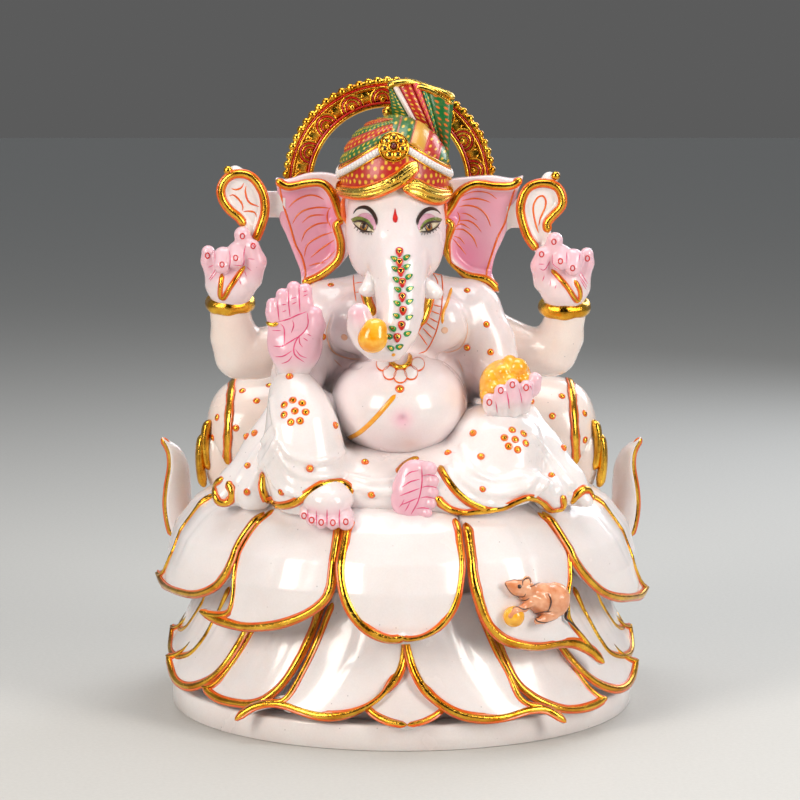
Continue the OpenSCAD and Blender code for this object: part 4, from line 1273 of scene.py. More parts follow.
s = np.sin(np.linspace(-0.998, 0.998, 90) * math.pi / 2) * bolsterShape["half"]
cushion, cushionFaces = lathe(np.stack([np.maximum(bolsterRadius(s), 0.3), s], 1), 96)
cushion = np.stack([cushion[:, 2], bolsterShape["axis"][0] + cushion[:, 1],
                    bolsterShape["axis"][1] - cushion[:, 0]], 1)
knots = [tube([(side * 132, 40, 176), (side * 139, 36, 176), (side * 143.5, 34, 176),
               (side * 146, 34, 176)], (0, 0, 1),
              np.array([50.0, 46, 34, 20]), np.array([58.0, 54, 46, 30]), 40) for side in (-1, 1)]
# the bolster takes the warmer marble copy, painted shade
addPiece("bolsterStone", join([(cushion, cushionFaces)] + knots), marbleWarmShade, ["bolster"])
bands, bandLines, tassels = [], [], []
for side in (-1, 1):
    a = np.linspace(0, 2 * math.pi, 97)[:-1]
    for wide, high, shift, out in ((5.6, 2.6, 0.0, bands), (7.8, 1.4, 0.0, bandLines)):
        x = side * (129.0 - 2.0 * np.sin(a)) + shift
        r = bolsterRadius(x) + 0.2
        path = np.stack([x, bolsterShape["axis"][0] - r * np.cos(a),
                         bolsterShape["axis"][1] + r * np.sin(a)], 1)
        away = np.stack([np.full(96, side * 0.55), -np.cos(a), np.sin(a)], 1)
        lump = wide * (1 + 0.14 * np.cos(13 * a) ** 5)
        out.append(tube(path, away, lump, high, 8, closed=True))
    # the gathered end with its gilt tie hanging down the side
    for dx, zTop, zLow, wide in ((144.4, 203, 166, 16), (148.4, 193, 153, 15)):
        path = smoothLine([(side * (dx - 2.5), 30, zTop), (side * (dx + 1.2), 28, zTop - 6),
                           (side * (dx + 2.2), 27, (zTop + zLow) / 2),
                           (side * (dx + 0.6), 27, zLow + 5), (side * (dx - 2), 28, zLow)], 30)
        tassels.append(tube(path, (side, 0, 0), wide, 7.4, 12, taper=4))
addPiece("bolsterBands", join(bands), gold, ["bolster_trim"])
addPiece("bolsterBandLines", join(bandLines), orangePaint)
addPiece("bolsterTies", join(tassels), gold)
print("bolster ready")

# Bangles, sweets.

bangleShape = {"Left": ((-125.0, -17, 295.0), 14.6, 5.9), "Right": ((118.4, -17, 292.2), 15.4, 6.1)}
rings, ringLines = [], []
for word, (spot, radius, thick) in bangleShape.items():
    a = np.linspace(0, 2 * math.pi, 97)[:-1]
    tilt = 0.11
    lumps = 1 + 0.10 * np.sin(3 * a + 0.6) + 0.06 * np.sin(7 * a)
    path = np.stack([spot[0] + radius * np.cos(a), spot[1] + radius * 0.9 * np.sin(a),
                     spot[2] + radius * tilt * np.sin(a)], 1)
    rings.append(tube(path, (0, 0.0, 1), thick * lumps * 1.25, 2 * thick * lumps * 0.92, 16, closed=True))
    path = np.stack([spot[0] + (radius - 1.8) * np.cos(a), spot[1] + (radius - 1.8) * 0.9 * np.sin(a),
                     spot[2] - 4.0 + radius * tilt * np.sin(a)], 1)
    ringLines.append(tube(path, (0, 0, 1), 4.0, 2.4, 8, closed=True))
addPiece("wristBangles", join(rings), gold, ["wrist_bangles"])
addPiece("wristBangleLines", join(ringLines), orangePaint)


def heapField(p):
    # a mound of lumpy sweets, higher at the right
    mound = meld(7, ball(p, (70, -80, 246), (13.5, 15, 15)), ball(p, (80, -79, 249), (12, 14, 14)),
                 ball(p, (62.5, -84, 237), (6.5, 11, 15)))
    lumps = [ball(p, (px, depth, pz), (r, 8, r * 0.95)) for px, depth, pz, r in (
        (63.4, -87, 251, 6.0), (71.6, -90, 254, 6.4), (81.6, -89, 257, 7.4), (65.6, -92, 243, 6.2),
        (75.6, -93, 247.5, 6.6),
        (85.6, -88, 249.5, 5.6), (59.4, -91, 238, 4.4), (76.6, -84, 260.6, 5.2))]
    return meld(1.8, mound, *lumps)


sweetYellow = brushPaint("yellowSweetPaint", "F79E00", "FFD04A", 0.2, 9.0)
verts, faces, normals = carve(heapField, (50, -106, 222), (98, -54, 272), 0.8)
addPiece("sweetHeap", (verts, faces), sweetYellow, ["sweet_heap"])
verts, faces, normals = carve(sweetField, (-34, -140, 268), (-6, -114, 300), 0.8)
addPiece("trunkSweet", (verts, faces), sweetYellow, ["trunk_sweet"])
print("sweets ready")

# Mouse on the right-hand petal.


def petalDepth(x, z):
    # how far forward the right front petal's face stands at a place across and up
    petal = frontPetals["upperPetalRight1"]
    reach = np.interp(z, petalTiers["upper"]["heights"], petalTiers["upper"]["reach"]) + petal["proud"] + 4.5
    return -np.sqrt(np.maximum(reach ** 2 - np.asarray(x) ** 2, 1.0))


def mouseField(p):
    def spot(x, z, out, r):
        return (x, float(petalDepth(x, z)) - out, z, r)
    body = chain(p, 7, spot(106, 101, 1.0, 11.5), spot(96, 102.5, 1.5, 9.2), spot(88, 106, 2.5, 6.4))
    head = chain(p, 5, spot(85.5, 111, 4, 6.3), spot(79, 112.5, 5, 4.4), spot(72.6, 115.6, 5.5, 1.7))
    ear = ball(p, spot(86.6, 116.4, 6, 1)[:3], (3.2, 2.0, 3.4))
    arm = chain(p, 2, spot(89, 101.5, 6, 3.2), spot(84.6, 99, 8.5, 2.6), spot(78.4, 97.5, 9.5, 2.2),
                spot(75, 94.5, 9.5, 1.8))
    haunch = ball(p, spot(107.4, 98.4, 5.5, 1)[:3], (8.2, 6.6, 9.6))
    foot = chain(p, 2, spot(106, 90.4, 5, 3.2), spot(98, 89.2, 7, 2.8), spot(93.8, 88.6, 7.5, 2.3))
    return meld(1.4, meld(3, meld(4, body, head), haunch), meld(2, ear, arm), foot)


mousePaint = brushPaint("peachMousePaint", "DE8A5A", "F3B48C", 0.25, 8.0)
verts, faces, normals = carve(mouseField, (66, -170, 82), (124, -108, 124), 0.8)
for points in ([(86, 103.5), (92, 106), (97, 104)], [(101, 106), (103.4, 100), (101.4, 94.6), (98, 93.6)]):
    verts = press(verts, normals, lay(mouseField, smoothLine(points, 14), -150)[0], 0.7, 0.9)
addPiece("mouse", (verts, faces), mousePaint, ["mouse"])
sweet = (77.4, float(petalDepth(77.4, 93)) - 4.5, 93.0)
addPiece("mouseSweet", round3(sweet, 7.4), sweetYellow, ["mouse_sweet"])
inkLines = [[(71.4, 115.8), (72.4, 112.6), (75.6, 108), (79, 105.8), (84.4, 105.2), (86, 107.6)],
            [(71.4, 116.4), (75, 117.6), (81, 116.8), (85, 117)], [(88.2, 111.8), (92, 113.6), (97, 116.2)],
            [(76.6, 101.4), (80.6, 103), (85.8, 102.6), (88.6, 104.6)],
            [(75.4, 95.6), (77.2, 99.2), (84.6, 96.4), (89.6, 97.6)],
            [(101.4, 108), (103.6, 102), (102.2, 96.6), (100.8, 94.6)],
            [(85, 92.8), (90, 92.4), (97.4, 94.4), (104, 94.8)],
            [(96, 93), (93, 91.4), (93.4, 88.6), (98, 87), (107, 87.4)],
            [(83.8, 112.4), (84, 116.6), (88, 118.4), (89.6, 114)]]
tail = [(112.6, 96), (115.4, 92), (114.6, 86.4), (119, 82), (125.5, 74.6)]
mouseLines = [brushLine(mouseField, line, -152, 0.95, 0.3, taper=4) for line in inkLines]
tailPath = smoothLine(tail, 34)
tailPath = np.stack([tailPath[:, 0], petalDepth(tailPath[:, 0], tailPath[:, 1]) - 1.5, tailPath[:, 1]], 1)
mouseLines.append(tube(tailPath, (0.6, -0.8, 0), np.linspace(2.6, 0.9, 34), np.linspace(3.0, 1.2, 34), 8,
                       taper=2))
addPiece("mouseInk", join(mouseLines), darkPaint)
addPiece("mouseEye", dab(mouseField, [(81.6, 112.4)], -152, 1.5, 0.8), darkPaint)
print("mouse ready")


# Turban.

turbanShape = {"centre": (-5.0, -38.0), "foot": 388.0, "rise": 43.0, "half": (39.6, 42.5), "peak": 46.0,
               "fall": 0.86, "band": 10.4}


def turbanBand(p):
    # Wraps rise from both sides to the middle of the front: counted in bands up from the white one.
    climb = np.degrees(np.arcsin(np.clip((p[:, 2] - turbanShape["foot"]) / turbanShape["rise"], -1, 1)))
    return (climb - turbanShape["peak"] + turbanShape["fall"] * np.abs(p[:, 0] + 5)) / turbanShape["band"]


def turbanSide(p):
    # The same for the loose end that crosses the right of the dome, counted from left to right.
    return (p[:, 0] - 7.5 - 0.30 * (p[:, 2] - 418)) / 11.5


def turbanCore(p):
    d = ball(p, (-5, -38, 388), (39.6, 42.5, 43.6))
    low = np.hypot((p[:, 0] + 5) / 39.2, (p[:, 1] + 38) / 42) - 1
    return np.where(p[:, 2] < 388, low * 40, d)


def turbanFoot(p):
    # the lower edge of the turban: hidden under the gilt folds in front, level behind
    front = np.interp(p[:, 0], [-45, -30, -18, -7, 0, 5, 11, 19, 27, 35],
                      [382, 380, 382, 387, 391, 387, 383, 379, 377, 379])
    return np.where(p[:, 1] < -38, front, 378.0) - p[:, 2]


def turbanField(p):
    v = turbanBand(p)
    left = smoothstep(-5, -8, p[:, 0])
    w = np.where(p[:, 1] > -40, v, turbanSide(p) + 5)
    ridge = left * np.abs(np.sin(math.pi * v)) ** 0.8 + (1 - left) * np.abs(np.sin(math.pi * w)) ** 0.8
    above = smoothstep(-0.1, 0.3, v)
    wraps = turbanCore(p) - 1.3 * ridge * above + 0.7 * smoothstep(-1.25, -1.0,
            v) * (1 - smoothstep(-0.35, -0.1, v))
    return np.maximum(wraps, turbanFoot(p))


def paintDots(across, along, width, pitch, radius):
    # rows of brushed dots: two rows to a band, each row shifted by half a step
    best = np.full(len(across), 1e9)
    for row, place in enumerate((0.29, 0.72)):
        near = (along / pitch + 0.5 * row) % 1 - 0.5
        wobble = 0.35 * np.sin(np.floor(along / pitch + 0.5 * row) * 2.4 + row)
        best = np.minimum(best, np.hypot(near * pitch, (across - place) * width + wobble))
    return smoothstep(radius + 0.3, radius - 0.3, best)


def enamelColours(name):
    # The colours are brushed on in a "paint" attribute, under one coat of varnish.
    mat, tree, shader = startMaterial(name)
    paint = addNode(tree, "ShaderNodeAttribute", {"attribute_name": "paint"})
    flow = objectNoise(tree, 4.0, 3.0)
    colour = mixColour(tree, ramp(tree, flow.outputs[0], [(0.4, 0.0), (0.8, 0.12)]), paint.outputs["Color"],
                       linear("F0B070"))
    tree.links.new(colour, shader.inputs["Base Color"])
    shader.inputs["Roughness"].default_value = 0.4
    shader.inputs["Coat Weight"].default_value = 0.3
    shader.inputs["Coat Roughness"].default_value = 0.12
    grain = objectNoise(tree, 1.2, 2.0)
    bump(tree, shader, grain.outputs[0], 0.08, 0.6)
    return mat


turbanEnamel = enamelColours("turbanEnamelColours")
cloth = {k: np.array(linear(v)[:3]) for k, v in {"red": "B80E12", "deep": "9E1218", "green": "0B6A2E",
        "teal": "178A58",
                                                 "dot": "EDC02C", "pale": "F3E9E6", "pink": "DE4256",
                                                 "orange": "E8701A"}.items()}


def blend(base, colour, amount):
    return base * (1 - amount[:, None]) + colour * amount[:, None]


def paintTurban(p):
    v = turbanBand(p)
    along = np.degrees(np.arctan2(p[:, 0] + 5, -(p[:, 1] + 38))) * 0.72
    left = p[:, 0] < -6.5
    w = turbanSide(p)
    front = (p[:, 1] < -40) & ~left
    index = np.where(front, np.where(w < 0, 0, np.where(w < 1, 3, np.where(w < 2.05, 1, 0))),
                     np.floor(v).astype(int) % 2)
    colours = np.stack([cloth["green"], cloth["red"], cloth["teal"], np.array(linear("D9A23A")[:3])])
    out = colours[np.clip(index, 0, 3)]
    f = np.where(front, np.mod(w, 1), np.mod(v, 1))
    run = np.where(front, p[:, 2], along)
    # a pink edge where the red cloth turns over
    edge = smoothstep(0.10, 0.02, np.minimum(f, 1 - f)) * (v > 0.1)
    out = blend(out, cloth["pink"], edge * 0.55)
    out = blend(out, cloth["dot"], paintDots(f, run, np.where(front, 11.0, 7.6), 4.6, 0.9) * (index != 3))
    below = v < -0.9
    height = np.interp(p[:, 2], [374, 400], [0, 1]) * 2.6
    band = blend(np.tile(cloth["red"], (len(p), 1)), cloth["dot"],
                 paintDots(np.mod(height, 1), along + 3 * np.floor(height), 9.0, 5.2, 1.25))
    out = np.where(below[:, None], band, out)
    white = (v >= -0.95) & (v < -0.1)
    return np.where(white[:, None], cloth["pale"], out)


verts, faces, normals = carve(turbanField, (-49, -86, 374), (39, 9, 434), 0.62)
addPiece("turbanWrap", (verts, faces), turbanEnamel, ["turban_wrap"],
         paint=paintTurban(verts))
print("turban wrapped", len(verts))


def ringRound(front, plane, lift=0.0, back=None, count=150):
    # A line drawn from the front on the turban, carried on round the back at a steady height.
    line = smoothLine(front, count)
    path, up = steady(turbanCore, lay(turbanCore, line, plane, lift)[0], lift)
    cx2, cy2 = turbanShape["centre"]
    a0 = math.atan2(path[-1, 1] - cy2, path[-1, 0] - cx2)
    a1 = math.atan2(path[0, 1] - cy2, path[0, 0] - cx2)
    if a1 < a0:
        a1 += 2 * math.pi
    a = np.linspace(a0, a1, 90)[1:-1]
    z = np.interp(a, [a0, a0 + 0.5, a1 - 0.5, a1], [path[-1, 2], back or path[-1, 2], back or path[0, 2],
            path[0, 2]])
    k = np.sqrt(np.clip(1 - ((np.maximum(z, 388) - 388) / 43.6) ** 2, 0.05, 1)) * 1.002
    round_ = np.stack([cx2 + (39.6 * k + lift) * np.cos(a), cy2 + (42.5 * k + lift) * np.sin(a), z], 1)
    up2 = unit(np.stack([np.cos(a), np.sin(a), 0.45 * np.clip((z - 384) / 20, 0, 1)], 1))
    return np.vstack([path, round_]), np.vstack([up, up2])


# the white bead band, with its two gilt lines
beadLine = [(-44, 392.6), (-34, 398), (-23.5, 404.2), (-15, 409), (-5, 412.6), (4.5, 409.4), (14, 403.6),
            (24, 398), (34.5, 392.6)]
path, up = ringRound(beadLine, -76, 0.3, 396)
roundBeads = []
length = np.concatenate([[0], np.cumsum(np.linalg.norm(np.diff(path, axis=0), axis=1))])
for s in np.arange(0, length[-1], 2.7):
    spot = np.array([np.interp(s, length, path[:, k]) for k in range(3)])
    roundBeads.append(round3(spot, 2.5))
addPiece("turbanBeads", join([tube(path, up, 5.8, 2.2, 10, closed=True)] + roundBeads), marble)
goldLines = []
for shift, wide in ((3.9, 1.9), (-3.6, 1.0)):
    line = [(x, z + shift) for x, z in beadLine]
    path, up = ringRound(line, -75, 0.5, 396 + shift)
    goldLines.append(tube(path, up, wide, 1.9, 8, closed=True))
addPiece("turbanGiltLines", join(goldLines), gold)
path, up = ringRound([(x, z + 3.9) for x, z in beadLine], -75, 0.2, 399.9)
addPiece("turbanGiltUnderline", tube(path, up, 3.4, 1.3, 8, closed=True), orangePaint)


def fold(field, upper, lower, plane, bulge, creases=0.0, rows=70, cols=19, power=0.5, sink=6.0):
    # A rolled edge of cloth lying between two lines on a surface, bulging out between them.
    a, b = smoothLine(upper, rows), smoothLine(lower, rows)
    s = np.linspace(-1, 1, cols)
    flat = a[:, None] * ((1 - s) / 2)[None, :, None] + b[:, None] * ((1 + s) / 2)[None, :, None]
    base, up = lay(field, flat.reshape(-1, 2), plane)
    base, up = base.reshape(rows, cols, 3), up.reshape(rows, cols, 3)
    width = np.linalg.norm(a - b, axis=1)[:, None]
    rise = bulge * np.minimum(1, width / 8) * (1 - s ** 2)[None, :] ** power
    rise = rise + creases * np.cos(s * 3 * math.pi + 0.4)[None, :] * (1 - s ** 2)[None, :] * np.minimum(1,
            width / 8)
    outer = base + up * rise[..., None]
    inner = (base - up * sink)[:, -2:0:-1]
    loop = np.concatenate([outer, inner], 1)
    m = loop.shape[1]
    k = np.arange(m)
    verts = np.vstack([loop.reshape(-1, 3), loop[0].mean(0), loop[-1].mean(0)])
    faces = [gridFaces(rows, m, False, True)[:, ::-1], np.stack([np.full(m, rows * m), k, (k + 1) % m], 1),
             np.stack([np.full(m, rows * m + 1), (rows - 1) * m + (k + 1) % m, (rows - 1) * m + k], 1)]
    return verts, [x[:, ::-1] for x in faces]


foldLeft = {"upper": [(-44.6, 385.5), (-41, 384.5), (-29.5, 383.8), (-16, 387.8), (-5, 393.4), (3, 400),
                      (9, 402), (12.4, 398.6)],
            "lower": [(-44.6, 380), (-41, 377.4), (-30, 375.6), (-18.5, 376.6), (-7, 381), (3.5, 387),
                      (9, 392.4), (12.2, 397.4)]}
foldRight = {"upper": [(0.5, 383.4), (6, 388.6), (11, 389.6), (17, 386.6), (26, 383), (34.4, 382.4)],
             "lower": [(1, 381.8), (5.4, 379), (11, 376), (19, 372.8), (27, 372), (34.4, 376)]}
brims = [fold(turbanCore, foldRight["upper"], foldRight["lower"], -80, 3.0, 0.8),
         fold(turbanCore, foldLeft["upper"], foldLeft["lower"], -80, 4.2, 0.5)]
a = np.linspace(math.radians(-10), math.radians(190), 110)
z = np.interp(a, [a[0], a[0] + 0.5, a[-1] - 0.5, a[-1]], [378.4, 380, 381, 382])
backPath = np.stack([-5 + 39.6 * np.cos(a), -38 + 42.4 * np.sin(a), z], 1)
brims.append(tube(backPath, np.stack([np.cos(a), np.sin(a), 0 * a], 1), 8.6, 5.4, 16))
addPiece("turbanBrimFolds", join(brims), goldPale, ["turban_brim"])
brimLines = [brushLine(turbanCore, foldLeft["lower"], -80, 2.4, 1.0, lift=0.6),
             brushLine(turbanCore, foldRight["lower"], -80, 2.2, 0.9, lift=0.5),
             brushLine(turbanCore, foldLeft["upper"][:-1], -80, 1.3, 0.8, lift=0.3),
             brushLine(turbanCore, foldRight["upper"], -80, 1.2, 0.8, lift=0.3)]
addPiece("turbanBrimLines", join(brimLines), orangePaint)

# brooch: a gilt flower of seven lobes round a red stone
broochShape = {"at": (-5.5, 411.0), "radius": 10.0, "lobe": 3.3, "ring": 6.4}
spot, up = lay(turbanCore, [broochShape["at"]], -76)
spot, up = spot[0] + up[0] * 0.6, unit(up[0] + [0, -0.8, 0])
side = unit(np.cross(up, [0, 0, 1.0]))
top = np.cross(side, up)


def domeOn(centre, up, side, top, radius, height, sides=24):
    a = np.arange(sides) / sides * 2 * math.pi
    rings = [(1.0, -0.35), (1.0, 0.15), (0.93, 0.5), (0.74, 0.78), (0.45, 0.95), (0.15, 1.0)]
    verts = np.concatenate([centre + r * radius * (np.cos(a)[:, None] * side + np.sin(a)[:, None] * top)
                            + up * h * height
                            for r, h in rings])
    n, k = len(rings), np.arange(sides)
    faces = [gridFaces(n, sides, False, True)[:, ::-1], np.stack([np.full(sides, n * sides),
            (k + 1) % sides, k], 1)[:, ::-1],
             np.stack([np.full(sides, n * sides + 1), (n - 1) * sides + k,
                       (n - 1) * sides + (k + 1) % sides], 1)[:, ::-1]]
    return np.vstack([verts, centre - up * height * 0.35, centre + up * height]), faces


lobes, pitShade = [domeOn(spot, up, side, top, broochShape["radius"], 3.4, 40)], []
for k in range(7):
    a = math.radians(90 + k * 360 / 7)
    place = spot + broochShape["ring"] * (math.cos(a) * side + math.sin(a) * top) + up * 2.0
    lobes.append(domeOn(place, up, side, top, broochShape["lobe"], 2.6))
    # a small dark dome on each lobe: painted shade where the lobe's pit is
    pitShade.append(domeOn(place + up * 2.0, up, side, top, 1.0, 1.0, 14))
a = np.linspace(0, 2 * math.pi, 33)[:-1]
bezel = spot + up * 4.2 + 3.1 * (np.cos(a)[:, None] * side + np.sin(a)[:, None] * top)
lobes.append(tube(bezel, up, 1.6, 2.2, 10, closed=True))
rimPath = spot + up * 0.8 + 10.2 * (np.cos(a)[:, None] * side + np.sin(a)[:, None] * top)
lobes.append(tube(rimPath, up, 1.9, 2.2, 8, closed=True))
addPiece("broochFlower", join(lobes), gold, ["turban_brooch"])
garnetPaint = brushPaint("garnetStonePaint", "4A0E08", "7A1C10", 0.2, 3.0)
addPiece("broochStone", domeOn(spot + up * 3.6, up, side, top, 2.2, 2.6, 20), garnetPaint)
# dark domes painted as the shade in the lobes' pits
addPiece("broochPitShade", join(pitShade), darkPaint)

# the pleated plume: a fan of cloth from the right of the dome, folded over in gilt at the top
plumeShape = {
    "top": [(-9.5, 451.5), (-7, 452.6), (-3, 453.6), (2, 454.8), (7.5, 455.2), (12.5, 454.4), (18.5, 452.6),
            (28, 449.4), (38, 445.6)],
    "foot": [(-6, 428), (9, 424), (13.5, 422.5), (20, 417), (26, 411), (27.5, 410), (29, 408.6), (31, 405),
             (34, 401.5)],
    "stops": [0.0, 0.09, 0.19, 0.47, 0.60, 0.75, 1.0],
    "cloth": ["green", "pale", "red", "pink", "teal", "green"],
}
rows, cols = 120, 170
u = np.linspace(0, 1, cols)
edgeKeys = np.interp(u, plumeShape["stops"], [0, 1, 2, 4, 5, 6, 8])
topLine = np.stack([np.interp(edgeKeys, np.arange(9), [q[k] for q in plumeShape["top"]]) for k in (0, 1)], 1)
footLine = np.stack([np.interp(edgeKeys, np.arange(9), [q[k] for q in plumeShape["foot"]]) for k in (0, 1)],
                    1)
v = np.linspace(0, 1, rows)[:, None]
flat = topLine[None] * (1 - v)[..., None] + footLine[None] * v[..., None]
stops = np.array(plumeShape["stops"])
index = np.clip(np.searchsorted(stops, u, side="right") - 1, 0, 5)
f = (u - stops[index]) / (stops[index + 1] - stops[index])
pleat = 2.6 * np.sin(np.clip(f, 0, 1) * math.pi) ** 0.6 + 1.6 * (index % 2)
edgeFade = np.clip(np.minimum(u, 1 - u) / 0.04, 0, 1) ** 0.5
y = -16 - pleat[None] * (0.55 + 0.45 * (1 - v)) * edgeFade[None] - 3.5 * np.sin(v * math.pi)
# the foot of the fan follows the dome
body = np.stack([flat[..., 0], y, flat[..., 1]], -1)
backs = np.stack([flat[..., 0], np.full(flat.shape[:2], -5.0) - 2.0 * (1 - edgeFade)[None], flat[..., 1]], -1)
loop = np.concatenate([body, backs[:, ::-1]], 1)
m = loop.shape[1]
verts = np.vstack([loop.reshape(-1, 3), loop[0].mean(0), loop[-1].mean(0)])
k = np.arange(m)
faces = [gridFaces(rows, m, False, True)[:, ::-1], np.stack([np.full(m, rows * m), k, (k + 1) % m], 1),
         np.stack([np.full(m, rows * m + 1), (rows - 1) * m + (k + 1) % m, (rows - 1) * m + k], 1)]
paint = np.zeros((rows, m, 3))
base = np.stack([cloth[plumeShape["cloth"][i]] for i in index])
run = v * 48
for i in range(rows):
    dots = paintDots(f, np.full(cols, run[i, 0]) + 2 * index, 11 * (1 - 0.4 * v[i, 0]), 4.4, 0.95)
    colour = np.where((index == 5)[:, None], cloth["orange"], cloth["dot"])
    dots = np.where(index == 1, 0, dots)
    paint[i, :cols] = base * (1 - dots[:, None]) + colour * dots[:, None]
    paint[i, cols:] = base[::-1]
paint = np.vstack([paint.reshape(-1, 3), cloth["red"], cloth["red"]])
addPiece("turbanPlume", (verts, faces), turbanEnamel, ["turban_crest"], paint=paint)
plumeTop = [(-10, 451.5), (-7.5, 454.6), (-1, 456.2), (5, 456.6), (10.5, 456), (19, 453.6), (30, 449.4),
            (38.4, 444.6)]
line = smoothLine(plumeTop, 60)
k = np.linspace(0, 1, 60)
tops = [tube(np.stack([line[:, 0], -15 - 2.2 * np.sin(9 * k), line[:, 1] - 1.2], 1), (0, -1, 0),
             4.6 + 1.2 * np.sin(8 * k), 11.0, 14, taper=4)]
line = smoothLine([(9, 452.4), (17, 450.6), (26, 446.6), (33, 442), (37, 439.4)], 40)
k = np.linspace(0, 1, 40)
tops.append(tube(np.stack([line[:, 0], np.full(40, -18.5), line[:, 1]], 1), (0, -1, 0),
                 3.4 + 1.4 * np.sin(3.1 * k), 6.0, 12, taper=4))
tops.append(round3((-9.4, -8, 433.5), 4.6))
addPiece("plumeGilt", join(tops), goldPale)
print("turban ready")


# Painted lines, stones and leaf on the figure.

def patch(field, outline, plane, lift=0.35, count=44, rings=(1.0, 0.97, 0.8, 0.55, 0.28)):
    # A filled spot of paint: rings shrink from its outline to its middle, all laid on the surface.
    flat = smoothLine(outline, count, True)
    mid = flat.mean(0)
    pts = np.concatenate([mid + (flat - mid) * r for r in rings] + [mid[None]])
    place, up = lay(field, pts, plane)
    heights = np.concatenate([np.full(count, -0.4 if k == 0 else lift) for k in range(len(rings))] + [[lift]])
    top = place + up * heights[:, None]
    base = (place[-1] - up[-1])[None]
    n, k = len(rings), np.arange(count)
    verts = np.vstack([top, base])
    faces = [gridFaces(n, count, False, True), np.stack([(n - 1) * count + k,
            (n - 1) * count + (k + 1) % count, np.full(count, n * count)], 1),
             np.stack([(k + 1) % count, k, np.full(count, n * count + 1)], 1)]
    area = np.sum(flat[:, 0] * np.roll(flat[:, 1], -1) - np.roll(flat[:, 0], -1) * flat[:, 1])
    return verts, (faces if area > 0 else [f[:, ::-1] for f in faces])


def strokes(field, lines, plane, width, height=0.4, taper=5, lift=0.0):
    return join([brushLine(field, line, plane, width, height, taper=taper, lift=lift) for line in lines])


def crescent(field, upper, lower, plane, lift=0.3):
    # a filled shape between two lines that share their ends
    a, b = smoothLine(upper, 26), smoothLine(lower, 26)
    rows = []
    for f in (0.0, 0.12, 0.5, 0.88, 1.0):
        rows.append(a * (1 - f) + b * f)
    pts = np.stack(rows, 1).reshape(-1, 2)
    place, up = lay(field, pts, plane)
    h = np.tile([-0.3, lift, lift, lift, -0.3], 26)[:, None]
    top = (place + up * h).reshape(26, 5, 3)
    low = (place - up * 0.9).reshape(26, 5, 3)
    loop = np.concatenate([top, low[:, 3:0:-1]], 1)
    m = loop.shape[1]
    k = np.arange(m)
    verts = np.vstack([loop.reshape(-1, 3), loop[0].mean(0), loop[-1].mean(0)])
    faces = [gridFaces(26, m, False, True), np.stack([np.full(m, 26 * m), (k + 1) % m, k], 1),
             np.stack([np.full(m, 26 * m + 1), 25 * m + k, 25 * m + (k + 1) % m], 1)]
    return verts, faces


# eyes: lid in pink, shadow in olive, a gold-brown iris, dark lash line and brow
olivePaint = brushPaint("oliveEyeShadow", "4F641C", "8E9A3A", 0.4, 3.0)
lidPaint = brushPaint("rosyLidPaint", "D493AE", "E2B2C4", 0.4, 6.0)
irisPaint = brushPaint("amberIrisPaint", "8A5412", "C58E2C", 0.2, 2.0)
creamPaint = brushPaint("creamEyePaint", "E3D2A6", "F0E6CF", 0.3, 4.0)
eyeShape = {
    "Left": {"lid": [(-33, 361.5), (-29, 365), (-24, 365.5), (-20, 362.5), (-18, 357.5), (-19, 353.5),
                     (-21.5, 356), (-25, 359.5), (-30, 361)],
             "brow": [(-34, 364.8), (-31.5, 368.2), (-28, 369.6), (-24, 369), (-20.5, 366), (-18, 361.5),
                      (-17.4, 357)],
             "shadow": ([(-35, 361.4), (-31, 363.2), (-27, 362.6), (-23, 360.4), (-20, 356)],
                        [(-33.4, 358.6), (-30, 359.6), (-26, 359), (-22.6, 357), (-20, 353.4)]),
             "white": [(-33.4, 358.4), (-30, 359.4), (-26, 358.8), (-22.6, 356.8), (-19.6, 352.4),
                       (-23, 352.2), (-27, 353), (-30.6, 355.4)],
             "iris": (-26.2, 356), "lashes": [(-32, 356.4, -1.6), (-30.4, 354.8, -1.4),
                     (-28.6, 353.6, -1.0), (-26.8, 352.8, -0.6), (-25, 352.2, -0.2), (-23.2, 351.8, 0.1),
                     (-21.4, 351.8, 0.4)]},
    "Right": {"lid": [(25.5, 361), (22, 364.5), (17, 365), (13.5, 362), (11.5, 357.5), (12.5, 353.5),
                      (15, 356), (18.5, 359), (23, 360.6)],
              "brow": [(27.5, 364.8), (25, 367.4), (21.6, 368.6), (17.6, 367.8), (14, 365), (11.6, 361),
                       (11, 357)],
              "shadow": ([(28, 361.4), (24, 362.8), (20, 362), (16, 360), (13.2, 355.8)],
                         [(26.6, 358.8), (23, 359.4), (19, 358.6), (15.8, 356.8), (13.2, 353.4)]),
              "white": [(26.6, 358.6), (23, 359.2), (19, 358.4), (15.8, 356.4), (12.6, 352.4),
                        (16.2, 352.2), (20, 352.8), (23.8, 355.2)],
              "iris": (18.8, 356), "lashes": [(25.2, 356.4, 1.6), (23.6, 354.8, 1.4), (21.8, 353.4, 1.0),
                      (20, 352.6, 0.6), (18.2, 352.1, 0.2), (16.4, 351.8, -0.1), (14.6, 351.8, -0.4)]}}
darks, olives, lids, whites, irises, pupils = [], [], [], [], [], []
